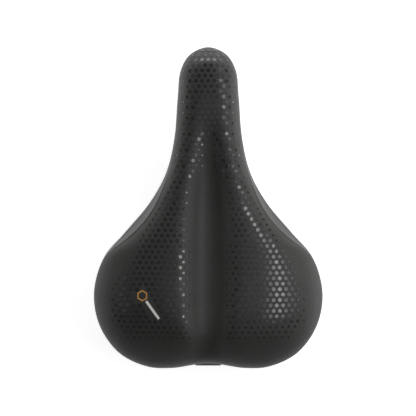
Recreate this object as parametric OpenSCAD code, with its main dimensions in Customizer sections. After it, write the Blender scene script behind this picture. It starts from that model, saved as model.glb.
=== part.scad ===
// Padded bicycle saddle with a pivoting nose and two elastomer blocks at the back.
// Millimetres. The origin is midway between the two rails, in the middle of their
// straight clamping length. -Y points to the nose, +Y to the tail and +Z up.

/* [Seat] */
// Length from the nose tip to the tail lobes
seat_length = 265; // [262:1:268]
// Width across the wings
seat_width = 188.6; // [184:0.2:194]
// Distance from the nose tip back to the middle of the clamping length
nose_overhang = 146; // [145:0.5:147]
// Depth of the central relief channel
channel_depth = 9.5; // [7:0.1:10]
// Thickness of the cover skin
cover_t = 1.2; // [0.8:0.1:1.4]
// Thickness of the gel pads under the sit bones
gel_t = 3.5; // [2:0.5:4]

/* [Base] */
// Wall thickness of the moulded base
base_t = 3; // [2.5:0.1:3.2]
// Width of the pressure relief slot in the base
slot_width = 14; // [10:1:18]
// Length of the pressure relief slot in the base
slot_length = 92; // [70:1:100]

/* [Rails] */
// Diameter of the rail wire
rail_d = 7; // [7:0.1:7.2]
// Distance between the rail axes along the clamping length
rail_gauge = 44; // [43:0.5:45]
// Straight clamping length of the rails
clamp_length = 76; // [66:1:80]

/* [Nose pivot] */
// Distance of the pivot behind the nose tip
pivot_back = 34; // [33:0.5:35]
// Height of the pivot above the rail axes
pivot_z = 25; // [24.5:0.1:25.5]
// Radial running clearance between the wire and the bush
pivot_play = 0.05; // [0.02:0.01:0.09]

/* [Suspension] */
// Height of an elastomer block at rest
elastomer_h = 24; // [22:1:25]
// Outer diameter of an elastomer block
elastomer_d = 26; // [22:1:28]
// Distance between the two elastomer axes
elastomer_gauge = 94; // [92:1:96]
// Distance of the elastomers behind the middle of the clamping length
elastomer_y = 84; // [82:1:86]
// Diameter of the suspension bolts
bolt_d = 6; // [5:1:6]

/* [Tail clip] */
// Width of the accessory socket under the tail
socket_w = 26; // [25:0.5:28]
// Width of the face of the socket's cap
cap_w = 21.6; // [20:0.2:24]

/* [Hidden] */
$fn = 48;

gap = 0.15;            // room between soft layers that lie on each other
play = 0.3;            // room between pieces of different bodies
steps = 3;             // lattice columns between two outline points
corners = 14;          // outline points after the first
half_n = corners * steps;
full_n = 2 * half_n;

// Half outline of the seat seen from above, nose tip to tail centre, as
// [distance from the centre line, distance behind the nose tip] at 188.6 x 265.
OUTLINE = [[0, 0], [15, 6], [22.8, 19], [25.4, 42], [28.2, 76], [35.2, 104.6], [49, 129.5],
           [69.5, 154], [86.2, 174], [94.2, 203], [89.3, 230.3], [73, 252.6], [50, 263.5],
           [30, 264.6], [0, 260.6]];

// Heights and depths along the centre line, as [distance behind the nose tip, value].
CROWN = [[0, 52.5], [20, 57], [45, 59.5], [90, 60], [130, 62.5], [170, 68], [205, 73], [235, 74], [262, 70]];
CHANNEL = [[50, 0], [80, 0.3], [106, 0.7], [140, 0.95], [180, 1.05], [215, 1], [245, 0.65], [262, 0.4]];
CHANNEL_W = [[60, 8], [100, 11.5], [134, 14.7], [180, 16.3], [205, 16.3], [245, 13.6]];
BASE_CROWN = [[20, 43], [60, 43], [110, 44], [160, 48], [205, 54], [262, 54]];

// Values around the rim, as [outline point counted from the nose tip, value].
SPINE = [[0, 20], [3, 46], [5, 98], [7, 142], [9, 172], [11, 192], [14, 210]];
EDGE_Z = [[0, 24], [4, 24], [6, 25], [8, 26], [9, 27], [11, 30.5], [12, 33], [14, 36]];
WIDEST_Z = [[0, 36], [4, 36], [6, 32], [7, 33], [8, 38], [9, 43], [11, 47], [14, 50]];
ROLL_Z = [[0, 36], [2, 38], [3, 40.5], [5, 45], [6, 46.5], [7, 46.5], [8, 44.5], [9, 44], [11, 47], [14, 50]];
DOME = [[0, 2.6], [2, 3], [4.5, 3.6], [5.5, 3.5], [6.5, 2.8], [8, 2.4], [11, 2.5], [14, 2.6]];
CUT = [[3.8, 0.4], [5, 2.2], [6, 5.8], [6.6, 6.8], [7.2, 4.6], [7.9, 0.9], [8.4, 0.4]];
FLANGE = [[0, 3], [4, 3], [6, 7], [9, 9], [14, 9]];

// ---------- small helpers ----------

function unit(v) = v / norm(v);
function reversed(list) = [for (k = [len(list) - 1 : -1 : 0]) list[k]];
function mirror_x(p) = [-p[0], p[1]];

// Smooth value of a short table at a station, flat beyond its two ends.
function slope(t, k) = k == 0 || k == len(t) - 1 ? 0
    : (t[k + 1][1] - t[k - 1][1]) / (t[k + 1][0] - t[k - 1][0]);
function along(t, s) =
    s <= t[0][0] ? t[0][1] :
    s >= t[len(t) - 1][0] ? t[len(t) - 1][1] :
    let (k = max([for (j = [0 : len(t) - 2]) if (t[j][0] <= s) j]),
         w = t[k + 1][0] - t[k][0],
         f = (s - t[k][0]) / w)
    hermite(t[k][1], t[k + 1][1], slope(t, k) * w, slope(t, k + 1) * w, f);
function hermite(p, q, m, n, f) =
    (2 * f^3 - 3 * f^2 + 1) * p + (f^3 - 2 * f^2 + f) * m + (3 * f^2 - 2 * f^3) * q + (f^3 - f^2) * n;

// Curve through four points, between the second and the third.
function curve(p, f) =
    let (a = sqrt(norm(p[1] - p[0])), b = sqrt(norm(p[2] - p[1])), c = sqrt(norm(p[3] - p[2])),
         m = b * ((p[1] - p[0]) / a - (p[2] - p[0]) / (a + b) + (p[2] - p[1]) / b),
         n = b * ((p[2] - p[1]) / b - (p[3] - p[1]) / (b + c) + (p[3] - p[2]) / c))
    hermite(p[1], p[2], m, n, f);

// ---------- the seat's lattice: columns around the outline, rows from spine to rim ----------

knots = concat([mirror_x(OUTLINE[1])], OUTLINE, [mirror_x(OUTLINE[corners - 1])]);
half_outline = concat(
    [for (k = [0 : corners - 1], j = [0 : steps - 1])
        curve([for (m = [0 : 3]) knots[k + m]], j / steps)],
    [OUTLINE[corners]]);
rim = [for (p = concat(half_outline, [for (k = [half_n - 1 : -1 : 1]) mirror_x(half_outline[k])]))
    [p[0] * seat_width / 188.6, p[1] * seat_length / 265]];
rim_out = [for (k = [0 : full_n - 1])
    let (t = rim[(k + 1) % full_n] - rim[(k + full_n - 1) % full_n]) unit([t[1], -t[0]])];
function column_u(k) = (k <= half_n ? k : full_n - k) / steps;
spine = [for (k = [0 : full_n - 1]) [0, along(SPINE, column_u(k))]];

function inset(k, d) = rim[k] - rim_out[k] * d;
function cut(k) = along(CUT, column_u(k));
function place(p, z) = [p[0], p[1] - nose_overhang, z];

function channel(p) =
    channel_depth * along(CHANNEL, p[1]) * exp(-pow(abs(p[0]) / along(CHANNEL_W, p[1]), 2.4));

// Point of the seat's top skin, off below the outer face. r runs from 0 on the spine to 1 at the shoulder.
function top_point(k, r, off) =
    let (edge = inset(k, cut(k) + off),
         p = spine[k] + (edge - spine[k]) * r,
         roll = along(ROLL_Z, column_u(k)),
         share = r * (0.995 - 0.045 * (cut(k) - 0.4) / 6.4),
         dome = sqrt(1 - pow(share, along(DOME, column_u(k)))))
    place(p, roll + (along(CROWN, p[1]) - roll) * dome - channel(p) * (1 - pow(r, 4)) - off);

TOP_ROWS = [0.03, 0.16, 0.3, 0.44, 0.58, 0.7, 0.8, 0.88, 0.94, 0.98, 1];
// Side of the seat below the shoulder, as
// [share of the side cut, share of the height above the widest line].
SIDE_ROWS = [[0.62, 0.55], [0.25, 0.2], [0, 0]];

function top_row(r, off) = [for (k = [0 : full_n - 1]) top_point(k, r, off)];
function side_row(s, off) = [for (k = [0 : full_n - 1])
    let (low = along(WIDEST_Z, column_u(k)), high = top_point(k, 1, off)[2])
    place(inset(k, cut(k) * s[0] + off), low + (high - low) * s[1])];
// A row at a given depth from the rim and a given height above the seat's lower edge.
function edge_row(d, up, flange = 0) = [for (k = [0 : full_n - 1])
    place(inset(k, d + flange * along(FLANGE, column_u(k))), along(EDGE_Z, column_u(k)) + up)];

function skin_rows(off) = concat(
    [for (r = TOP_ROWS) top_row(r, off)],
    [for (s = SIDE_ROWS) side_row(s, off)],
    [edge_row(0.6 + off, 6), edge_row(1.4 + off, 2 + off / 2)]);

// ---------- solids made of rows ----------

function flat(rows) = [for (row = rows) each row];
// Triangles between two neighbouring rows of n points each.
function band(a, b, n, closed = true) = [for (k = [0 : n - (closed ? 1 : 2)])
    let (j = (k + 1) % n) each [[a * n + k, a * n + j, b * n + j], [a * n + k, b * n + j, b * n + k]]];
// Triangles that close a row across the centre line.
function lid(a, n, up) = [for (k = [0 : n / 2 - 1])
    let (p = a * n + k, q = a * n + k + 1, r = a * n + (n - k - 1) % n, s = a * n + (n - k) % n)
    each concat(q == r ? [] : [up ? [p, q, r] : [r, q, p]],
                s == p ? [] : [up ? [p, r, s] : [s, r, p]])];

// A solid whose rows run from the middle of its top, around its rim, to the middle of its underside.
module lidded(rows) {
    n = full_n;
    last = len(rows) - 1;
    polyhedron(flat(rows), concat(
        lid(0, n, false),
        [for (a = [0 : last - 1]) each band(a, a + 1, n)],
        lid(last, n, true)));
}

// A solid whose last row meets its first again, such as a shell with an open slot.
module looped(rows) {
    n = full_n;
    count = len(rows);
    polyhedron(flat(rows), [for (a = [0 : count - 1]) each band(a, (a + 1) % count, n)]);
}

// ---------- seat ----------

module cover() {
    color([0.17, 0.175, 0.17])
        lidded(concat(
            skin_rows(0),
            [edge_row(3, 0), edge_row(3.6, 0, 1)],
            [edge_row(3.6, cover_t, 1), edge_row(3.4 + cover_t / 2, cover_t)],
            reversed(skin_rows(cover_t))));
}

// The pads lie between these outline columns and these rows of the top skin.
pad_from = 7 * steps + 1;
pad_to = 11 * steps;
pad_row_from = 2;
pad_row_to = 7;
function on_pad(k, row) =
    let (c = k <= half_n ? k : full_n - k)
    c >= pad_from && c <= pad_to && row >= pad_row_from && row <= pad_row_to;

foam_off = cover_t + 2 * gap;
foam_top = [for (row = [0 : len(TOP_ROWS) - 1]) [for (k = [0 : full_n - 1])
    top_point(k, TOP_ROWS[row], foam_off + (on_pad(k, row) ? gel_t + gap : 0))]];

// Slot in the base, as a loop with one point for each column.
slot_mid = 151;
function slot_point(k) =
    let (u = k / full_n * 360, bar = (slot_length - slot_width) / 2, r = slot_width / 2)
    [r * sin(u), slot_mid - bar * max(-1, min(1, 1.6 * cos(u))) - r * cos(u)];

skirt_d = 4.4;     // depth of the base's skirt behind the seat's silhouette
skirt_t = 2.2;     // thickness of the skirt
skirt_up = 10;     // height of the shoulder of the base above the seat's lower edge
BASE_ROWS = [0, 0.14, 0.3, 0.46, 0.62, 0.76, 0.87, 0.95, 1];
function base_row(r, off) = [for (k = [0 : full_n - 1])
    let (shoulder = inset(k, skirt_d + (off > 0 ? skirt_t : off)),
         slot = slot_point(k),
         p = slot + (shoulder - slot) * r,
         low = along(EDGE_Z, column_u(k)) + skirt_up)
    place(p, low + (along(BASE_CROWN, p[1]) - low) * pow(1 - pow(r, 3), 0.6) - off)];

module foam_pad() {
    color([0.85, 0.78, 0.55])
        lidded(concat(
            foam_top,
            [for (s = SIDE_ROWS) side_row(s, foam_off)],
            [edge_row(0.6 + foam_off, 6), edge_row(1.6 + foam_off, 2.2 + foam_off / 2)],
            [edge_row(skirt_d - gap, cover_t + 1.2), edge_row(skirt_d - gap, skirt_up)],
            [for (r = reversed([for (r = BASE_ROWS) if (r < 1) r])) base_row(r, -gap)],
            [[for (k = [0 : full_n - 1])
                let (s = slot_point(k), p = [s[0] * 0.3, s[1]])
                place(p, along(BASE_CROWN, p[1]) + gap)]]));
}

module gel_pad(side) {
    columns = [for (c = [pad_from : pad_to]) side > 0 ? c : full_n - c];
    n = len(columns);
    rows = pad_row_to - pad_row_from + 1;
    top = [for (row = [pad_row_from : pad_row_to]) each
        [for (k = columns) top_point(k, TOP_ROWS[row], foam_off)]];
    bottom = [for (row = [pad_row_from : pad_row_to]) each
        [for (k = columns) top_point(k, TOP_ROWS[row], foam_off + gel_t)]];
    low = n * rows;
    function face(a, b, c, d) = [[a, b, c], [a, c, d]];
    faces = concat(
        [for (r = [0 : rows - 2], k = [0 : n - 2])
            let (a = r * n + k) each face(a, a + 1, a + n + 1, a + n)],
        [for (r = [0 : rows - 2], k = [0 : n - 2])
            let (a = low + r * n + k) each face(a, a + n, a + n + 1, a + 1)],
        [for (k = [0 : n - 2]) each face(k + 1, k, low + k, low + k + 1)],
        [for (k = [0 : n - 2])
            let (a = (rows - 1) * n + k) each face(a, a + 1, low + a + 1, low + a)],
        [for (r = [0 : rows - 2])
            let (a = r * n) each face(a, a + n, low + a + n, low + a)],
        [for (r = [0 : rows - 2])
            let (a = r * n + n - 1) each face(a + n, a, low + a, low + a + n)]);
    color([0.55, 0.75, 0.85, 0.8])
        polyhedron(concat(top, bottom), side > 0 ? faces : [for (f = faces) [f[0], f[2], f[1]]]);
}

// ---------- moulded base ----------

pivot_y = pivot_back - nose_overhang;
pad_z = 33;             // underside of the pad that carries the nose keeper
keeper_reach = 14;      // distance of the keeper screws from the pivot
boss_z = 42;            // underside of the rear bosses
boss_d = 27;
recess_z = 47;          // floor of the recess for a bolt head
recess_d = 17;
ear_x = 18;             // screws of the tail socket
ear_y = 97;
socket_top = 35.5;

module each_side() {
    for (side = [-1, 1])
        translate([side * elastomer_gauge / 2, elastomer_y, 0]) children();
}
module each_keeper_screw() {
    for (side = [-1, 1])
        translate([0, pivot_y + side * keeper_reach, 0]) children();
}
module each_ear() {
    for (side = [-1, 1])
        translate([side * ear_x, ear_y, 0]) children();
}

// A straight rib from one point of its lower edge to another.
module rib(a, b, depth) {
    translate(a)
        rotate([0, 0, atan2(b[1] - a[1], b[0] - a[0])])
            rotate([0, -atan2(b[2] - a[2], norm([b[0] - a[0], b[1] - a[1]])), 0])
                translate([0, -1, 0]) cube([norm(b - a), 2, depth]);
}

module base_shell() {
    color([0.09, 0.09, 0.095])
        difference() {
            union() {
                looped(concat(
                    [for (r = BASE_ROWS) base_row(r, 0)],
                    [edge_row(skirt_d, cover_t + 0.1), edge_row(4, cover_t + 0.1, 1),
                     edge_row(4, cover_t + 1.8, 1), edge_row(skirt_d + skirt_t, cover_t + 1.8)],
                    [for (r = reversed(BASE_ROWS)) base_row(r, base_t)]));
                each_side() translate([0, 0, boss_z]) cylinder(d = boss_d, h = 49.7 - boss_z);
                translate([-8, pivot_y - 18.5, pad_z]) cube([16, 12, 4.2]);
                translate([-8, pivot_y - 6.5, pad_z]) cube([16, 25, 6.6]);
                each_ear() translate([0, 0, socket_top]) cylinder(d = 9, h = 49.5 - socket_top);
                for (side = [-1, 1]) {
                    rib([side * 6, -94, 36], [side * 13, -40, 37.5], 5);
                    rib([side * 13, -40, 37.5], [side * 13, 0, 40.6], 5);
                    rib([side * 13, 0, 40.6], [side * 13, 40, 45.5], 5);
                    rib([side * 13, 40, 45.5], [side * 16, 83, 46.5], 5.5);
                }
                rib([-36, 84, 45.5], [36, 84, 45.5], 5.5);
                rib([-38, 60, 46.5], [38, 60, 46.5], 5);
            }
            each_side() translate([0, 0, boss_z - 1]) cylinder(d = bolt_d + 0.4, h = 20);
            each_side() translate([0, 0, recess_z]) cylinder(d = recess_d, h = 12);
            each_keeper_screw() translate([0, 0, pad_z - 1]) cylinder(d = 3.2, h = 4.6);
            each_ear() translate([0, 0, socket_top - 1]) cylinder(d = 3.2, h = 10);
        }
}

module cover_staples() {
    color([0.75, 0.75, 0.77])
        for (k = [0 : 2 : full_n - 1])
            if (column_u(k) < 13.2)
                let (flange = along(FLANGE, column_u(k)),
                     p = inset(k, 4.2 + flange / 2),
                     z = along(EDGE_Z, column_u(k)))
                translate(place(p, z))
                    rotate([0, 0, atan2(rim_out[k][1], rim_out[k][0]) + 90]) {
                        translate([-4.5, -0.4, -0.6]) cube([9, 0.8, 0.6]);
                        for (x = [-4.5, 3.8])
                            translate([x, -0.35, -0.3]) cube([0.7, 0.7, 2.9]);
                    }
}

// ---------- nose pivot ----------

strap_t = 1.6;
bush_l = 10;
bush_r = 7.3;

module along_bar(l) {
    translate([-l / 2, pivot_y, pivot_z]) rotate([0, 90, 0]) children();
}

module bush_half(upper) {
    color([0.72, 0.7, 0.62])
        difference() {
            union() {
                along_bar(bush_l) cylinder(r = bush_r, h = bush_l);
                translate([-bush_l / 2, pivot_y - bush_r, pivot_z])
                    cube([bush_l, 2 * bush_r, pad_z - pivot_z]);
            }
            along_bar(bush_l + 2) cylinder(r = rail_d / 2 + pivot_play, h = bush_l + 2);
            translate([-20, pivot_y - 20, upper ? pivot_z - 39.9 : pivot_z - 0.1]) cube([40, 40, 40]);
        }
}

module nose_keeper() {
    r = bush_r + 0.05;
    reach = keeper_reach + 4.5;
    color([0.6, 0.6, 0.62])
        difference() {
            union() {
                difference() {
                    union() {
                        along_bar(bush_l) cylinder(r = r + strap_t, h = bush_l);
                        translate([-bush_l / 2, pivot_y - r - strap_t, pivot_z])
                            cube([bush_l, 2 * (r + strap_t), pad_z - pivot_z]);
                    }
                    along_bar(bush_l + 2) cylinder(r = r, h = bush_l + 2);
                    translate([-bush_l, pivot_y - r, pivot_z]) cube([2 * bush_l, 2 * r, 20]);
                }
                for (side = [0, 1])
                    translate([-bush_l / 2, pivot_y + (side > 0 ? r : -reach), pad_z - strap_t])
                        cube([bush_l, reach - r, strap_t]);
            }
            each_keeper_screw() translate([0, 0, pad_z - 5]) cylinder(d = 3.6, h = 10);
        }
}

module pan_screw(z, head_d, head_h, shank_d, shank_l) {
    translate([0, 0, z - head_h]) difference() {
        union() {
            cylinder(d1 = head_d - 1.2, d2 = head_d, h = head_h * 0.4);
            translate([0, 0, head_h * 0.4]) cylinder(d = head_d, h = head_h * 0.6);
            cylinder(d = shank_d, h = head_h + shank_l);
        }
        translate([0, 0, -0.1]) cylinder(d = head_d * 0.42, h = head_h * 0.5, $fn = 6);
    }
}

module keeper_screws() {
    color([0.7, 0.7, 0.72])
        each_keeper_screw() pan_screw(pad_z - strap_t, 7, 2.4, 3.1, 4.8);
}

// ---------- rails and rear bridge ----------

function matrix(o, x, z) =
    let (y = cross(z, x))
    [[x[0], y[0], z[0], o[0]], [x[1], y[1], z[1], o[1]], [x[2], y[2], z[2], o[2]], [0, 0, 0, 1]];
function across(t) = unit(cross([0, 0, 1], t));
function bend_angle(p, k) = acos(unit(p[k] - p[k - 1]) * unit(p[k + 1] - p[k]));
function bend_reach(p, k, r) = r * tan(bend_angle(p, k) / 2);

// Centre points and directions of a wire with its corners bent, as [point, direction].
function bend_path(p, k, r) =
    let (u = unit(p[k] - p[k - 1]), n = unit(cross(u, p[k + 1] - p[k])), m = cross(n, u),
         start = p[k] - u * bend_reach(p, k, r), turn = bend_angle(p, k), parts = ceil(turn / 6))
    [for (j = [0 : parts]) let (a = turn * j / parts)
        [start + r * (m * (1 - cos(a)) + u * sin(a)), u * cos(a) + m * sin(a)]];

// A round wire through a list of corner points. Its straight lengths are true cylinders, and a core
// a little thinner runs through them and around the bends.
module bent_wire(p, radii, d) {
    last = len(p) - 1;
    sides = 32;
    core = d / 2 - 0.04;
    path = concat(
        [[p[0] + unit(p[1] - p[0]), unit(p[1] - p[0])]],
        [for (k = [1 : last - 1]) each bend_path(p, k, radii[k])],
        [[p[last] - unit(p[last] - p[last - 1]), unit(p[last] - p[last - 1])]]);
    count = len(path);
    polyhedron(
        [for (s = path) let (x = across(s[1]), y = cross(s[1], x))
            each [for (j = [0 : sides - 1])
                s[0] + core * (x * cos(360 * j / sides) + y * sin(360 * j / sides))]],
        concat(
            [[for (j = [0 : sides - 1]) j]],
            [for (a = [0 : count - 2]) each band(a, a + 1, sides)],
            [[for (j = [sides - 1 : -1 : 0]) (count - 1) * sides + j]]));
    reach = [for (k = [0 : last]) k == 0 || k == last ? 0 : bend_reach(p, k, radii[k])];
    for (k = [0 : last - 1]) {
        z = unit(p[k + 1] - p[k]);
        start = k == 0 ? 0 : reach[k] - 0.3;
        end = k == last - 1 ? 0 : reach[k + 1] - 0.3;
        multmatrix(matrix(p[k] + z * start, across(z), z))
            cylinder(d = d, h = norm(p[k + 1] - p[k]) - start - end);
    }
}

rail_x = rail_gauge / 2;
tail_x = 31;
tail_z = 8;
rail_end = 98;
half_rail = [[tail_x, rail_end, tail_z], [tail_x, 70, tail_z],
             [rail_x, clamp_length / 2 + 10.4, 0], [rail_x, -clamp_length / 2 - 8, 0],
             [12, pivot_y, pivot_z]];
half_bends = [0, 15, 40, 40, 7.5];

module rail_wire() {
    color([0.75, 0.76, 0.78])
        bent_wire(concat(half_rail, [for (p = reversed(half_rail)) [-p[0], p[1], p[2]]]),
                  concat(half_bends, reversed(half_bends)), rail_d);
}

bridge_t = 2.5;
bridge_z = tail_z + rail_d / 2;   // underside of the bridge plate
bridge_y = 71;
bridge_l = 26;

module rear_bridge() {
    wrap = rail_d / 2 + bridge_t;
    color([0.3, 0.3, 0.32])
        difference() {
            union() {
                translate([-elastomer_gauge / 2, bridge_y, bridge_z])
                    cube([elastomer_gauge, bridge_l, bridge_t]);
                each_side() translate([0, 0, bridge_z]) cylinder(d = 29, h = bridge_t);
                for (side = [-1, 1])
                    intersection() {
                        translate([side * tail_x, bridge_y + 4, tail_z])
                            rotate([-90, 0, 0]) cylinder(r = wrap, h = bridge_l - 4);
                        translate([side * tail_x - 10, bridge_y, tail_z - 2.5]) cube([20, bridge_l, 20]);
                    }
                for (y = [bridge_y, bridge_y + bridge_l - 2])
                    translate([-23, y, bridge_z - 4]) cube([46, 2, 4]);
            }
            for (side = [-1, 1])
                translate([side * tail_x, bridge_y - 1, tail_z])
                    rotate([-90, 0, 0]) cylinder(d = rail_d, h = bridge_l + 2);
            each_side() translate([0, 0, bridge_z - 1]) cylinder(r = 4.5, h = bridge_t + 2);
            for (x = [-9, 9])
                translate([x, elastomer_y, bridge_z - 1]) cylinder(r = 5, h = bridge_t + 2);
            translate([-9, elastomer_y - 5, bridge_z - 1]) cube([18, 10, bridge_t + 2]);
        }
}

// ---------- suspension ----------

cup_t = 2;
cup_rim = 3;
cup_d = elastomer_d + 4.4;
block_z = bridge_z + bridge_t + cup_t;
ring_z = bridge_z - 3;

module cup(hole) {
    difference() {
        cylinder(d = cup_d, h = cup_t + cup_rim);
        translate([0, 0, cup_t]) cylinder(d = elastomer_d + 0.4, h = cup_rim + 1);
        translate([0, 0, -1]) cylinder(d = hole, h = cup_t + 2);
    }
}
module on_side(side, z) {
    translate([side * elastomer_gauge / 2, elastomer_y, z]) children();
}
module lower_cup(side) {
    color([0.35, 0.35, 0.37])
        on_side(side, block_z - cup_t) cup(9);
}
module spring_seat(side) {
    color([0.35, 0.35, 0.37])
        on_side(side, boss_z) rotate([180, 0, 0]) cup(bolt_d + 0.6);
}
module elastomer(side) {
    color([0.2, 0.2, 0.2])
        on_side(side, block_z)
            difference() {
                cylinder(d = elastomer_d, h = elastomer_h);
                translate([0, 0, -1]) cylinder(d = 8.4, h = elastomer_h + 2);
                for (f = [0.36, 0.64])
                    translate([0, 0, elastomer_h * f])
                        rotate_extrude() translate([elastomer_d / 2 + 0.6, 0]) circle(r = 2.2);
            }
}
module rebound_ring(side) {
    color([0.13, 0.13, 0.13])
        on_side(side, ring_z)
            difference() {
                cylinder(d = 15.2, h = 3);
                translate([0, 0, -1]) cylinder(d = 9, h = 5);
            }
}

washer_z = ring_z - 0.3 - 1.3;
nut_h = 6;

module load_plates() {
    color([0.7, 0.7, 0.72])
        each_side() translate([0, 0, recess_z])
            difference() {
                cylinder(d = recess_d - 0.6, h = 1);
                translate([0, 0, -1]) cylinder(d = bolt_d + 0.3, h = 3);
            }
}
module suspension_bolts() {
    color([0.7, 0.7, 0.72])
        each_side() {
            translate([0, 0, recess_z + 1]) cylinder(d = 15, h = 1.2);
            translate([0, 0, recess_z + 2.2]) cylinder(d1 = 15, d2 = 9, h = 1.6);
            translate([0, 0, washer_z - nut_h - 2.4])
                cylinder(d = bolt_d, h = recess_z + 1 - (washer_z - nut_h - 2.4));
        }
}
module bolt_washers() {
    color([0.7, 0.7, 0.72])
        each_side() translate([0, 0, washer_z])
            difference() {
                cylinder(d = 16, h = 1.3);
                translate([0, 0, -1]) cylinder(d = bolt_d + 0.4, h = 4);
            }
}
module lock_nuts() {
    color([0.7, 0.7, 0.72])
        each_side() translate([0, 0, washer_z - nut_h])
            difference() {
                union() {
                    translate([0, 0, 1.6]) cylinder(d = 11.5, h = nut_h - 1.6, $fn = 6);
                    cylinder(d = 9, h = 1.6);
                }
                translate([0, 0, -1]) cylinder(d = bolt_d + 0.1, h = nut_h + 2);
            }
}

// ---------- tail clip ----------

mouth_y = 116;
socket_y = 94;
socket_h = 9.6;
tongue_w = 18.6;
tongue_h = 4.8;
tongue_z = socket_top - socket_h / 2;

module clip_socket() {
    color([0.1, 0.1, 0.105])
        difference() {
            union() {
                translate([-socket_w / 2, socket_y, socket_top - socket_h])
                    cube([socket_w, mouth_y - socket_y, socket_h]);
                each_ear() translate([0, 0, socket_top - 2.5]) cylinder(d = 9, h = 2.5);
                translate([-ear_x, ear_y - 3, socket_top - 2.5]) cube([2 * ear_x, 7.5, 2.5]);
            }
            translate([-tongue_w / 2 - play, socket_y + 3, tongue_z - tongue_h / 2 - play])
                cube([tongue_w + 2 * play, 30, tongue_h + 2 * play]);
            each_ear() translate([0, 0, socket_top - 5]) cylinder(d = 3.6, h = 10);
            each_ear() translate([0, 0, socket_top - 2.5 - 9.5]) cylinder(d = 7.6, h = 9.5);
        }
}
module clip_screws() {
    color([0.7, 0.7, 0.72])
        each_ear() pan_screw(socket_top - 2.5, 6.8, 2.2, 3.1, 10);
}
module clip_cap() {
    r = 2.2;
    h = socket_h - 0.4;
    color([0.5, 0.5, 0.5]) {
        translate([0, mouth_y + play, tongue_z])
            rotate([-90, 0, 0]) {
                translate([-cap_w / 2 + r, -h / 2, 0]) cube([cap_w - 2 * r, h, 2]);
                translate([-cap_w / 2, -h / 2 + r, 0]) cube([cap_w, h - 2 * r, 2]);
                for (x = [-1, 1], z = [-1, 1])
                    translate([x * (cap_w / 2 - r), z * (h / 2 - r), 0]) cylinder(r = r, h = 2);
            }
        difference() {
            translate([-tongue_w / 2, socket_y + 5, tongue_z - tongue_h / 2])
                cube([tongue_w, mouth_y + play - socket_y - 5 + 0.5, tongue_h]);
            translate([-tongue_w / 2 + 3, socket_y + 3, tongue_z - tongue_h])
                cube([tongue_w - 6, 13, 2 * tongue_h]);
        }
    }
}

cover();
foam_pad();
gel_pad(1);  // gel_pad_left
gel_pad(-1);  // gel_pad_right
base_shell();
spring_seat(1);  // spring_seat_left
spring_seat(-1);  // spring_seat_right
load_plates();
suspension_bolts();
bolt_washers();
lock_nuts();
bush_half(true);  // pivot_bush_upper
bush_half(false);  // pivot_bush_lower
nose_keeper();
keeper_screws();
cover_staples();
clip_socket();
clip_screws();
clip_cap();
rail_wire();
rear_bridge();
lower_cup(1);  // lower_cup_left
lower_cup(-1);  // lower_cup_right
elastomer(1);  // elastomer_left
elastomer(-1);  // elastomer_right
rebound_ring(1);  // rebound_ring_left
rebound_ring(-1);  // rebound_ring_right
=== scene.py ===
"""Padded bicycle saddle: cover, padding, underside, suspension and a plain studio."""

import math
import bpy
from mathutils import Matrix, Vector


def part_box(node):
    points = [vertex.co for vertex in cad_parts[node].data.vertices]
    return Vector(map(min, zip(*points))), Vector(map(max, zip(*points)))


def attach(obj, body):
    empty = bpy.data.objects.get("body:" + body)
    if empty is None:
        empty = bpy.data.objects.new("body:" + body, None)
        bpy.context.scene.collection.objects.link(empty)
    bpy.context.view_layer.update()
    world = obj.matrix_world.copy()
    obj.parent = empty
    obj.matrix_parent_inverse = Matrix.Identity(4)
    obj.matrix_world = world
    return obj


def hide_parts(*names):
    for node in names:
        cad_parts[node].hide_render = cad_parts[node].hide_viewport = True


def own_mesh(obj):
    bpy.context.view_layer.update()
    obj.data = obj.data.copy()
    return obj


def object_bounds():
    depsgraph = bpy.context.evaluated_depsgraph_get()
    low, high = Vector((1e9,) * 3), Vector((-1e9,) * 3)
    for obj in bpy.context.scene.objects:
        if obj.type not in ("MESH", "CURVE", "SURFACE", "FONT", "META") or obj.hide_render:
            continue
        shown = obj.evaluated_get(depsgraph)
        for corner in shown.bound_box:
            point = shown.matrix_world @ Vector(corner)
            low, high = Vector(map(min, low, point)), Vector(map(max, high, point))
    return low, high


bl_info = {
    "name": "Bicycle Saddle",
    "version": (1, 0, 0),
    "blender": (4, 5, 0),
    "location": "View3D > Sidebar > Saddle",
    "description": "Builds a padded bicycle saddle around its CAD frame, and a plain studio for it",
    "category": "Object",
}

import bmesh
import bpy
import numpy as np
from bpy.props import FloatProperty, FloatVectorProperty, IntProperty, PointerProperty
from mathutils import Vector
from mathutils.bvhtree import BVHTree

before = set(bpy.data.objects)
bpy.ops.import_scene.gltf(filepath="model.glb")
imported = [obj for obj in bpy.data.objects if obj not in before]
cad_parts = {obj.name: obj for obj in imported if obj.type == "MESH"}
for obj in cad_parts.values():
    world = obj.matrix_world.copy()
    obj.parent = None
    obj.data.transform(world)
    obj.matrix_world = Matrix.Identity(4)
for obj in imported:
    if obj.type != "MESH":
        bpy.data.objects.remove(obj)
CAD_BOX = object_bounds()

MM = 0.001
OVERHANG = 146.0        # nose tip to the middle of the rails' clamping length, in millimetres
SEAT = "seat"
UNDER = "undercarriage"

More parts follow.
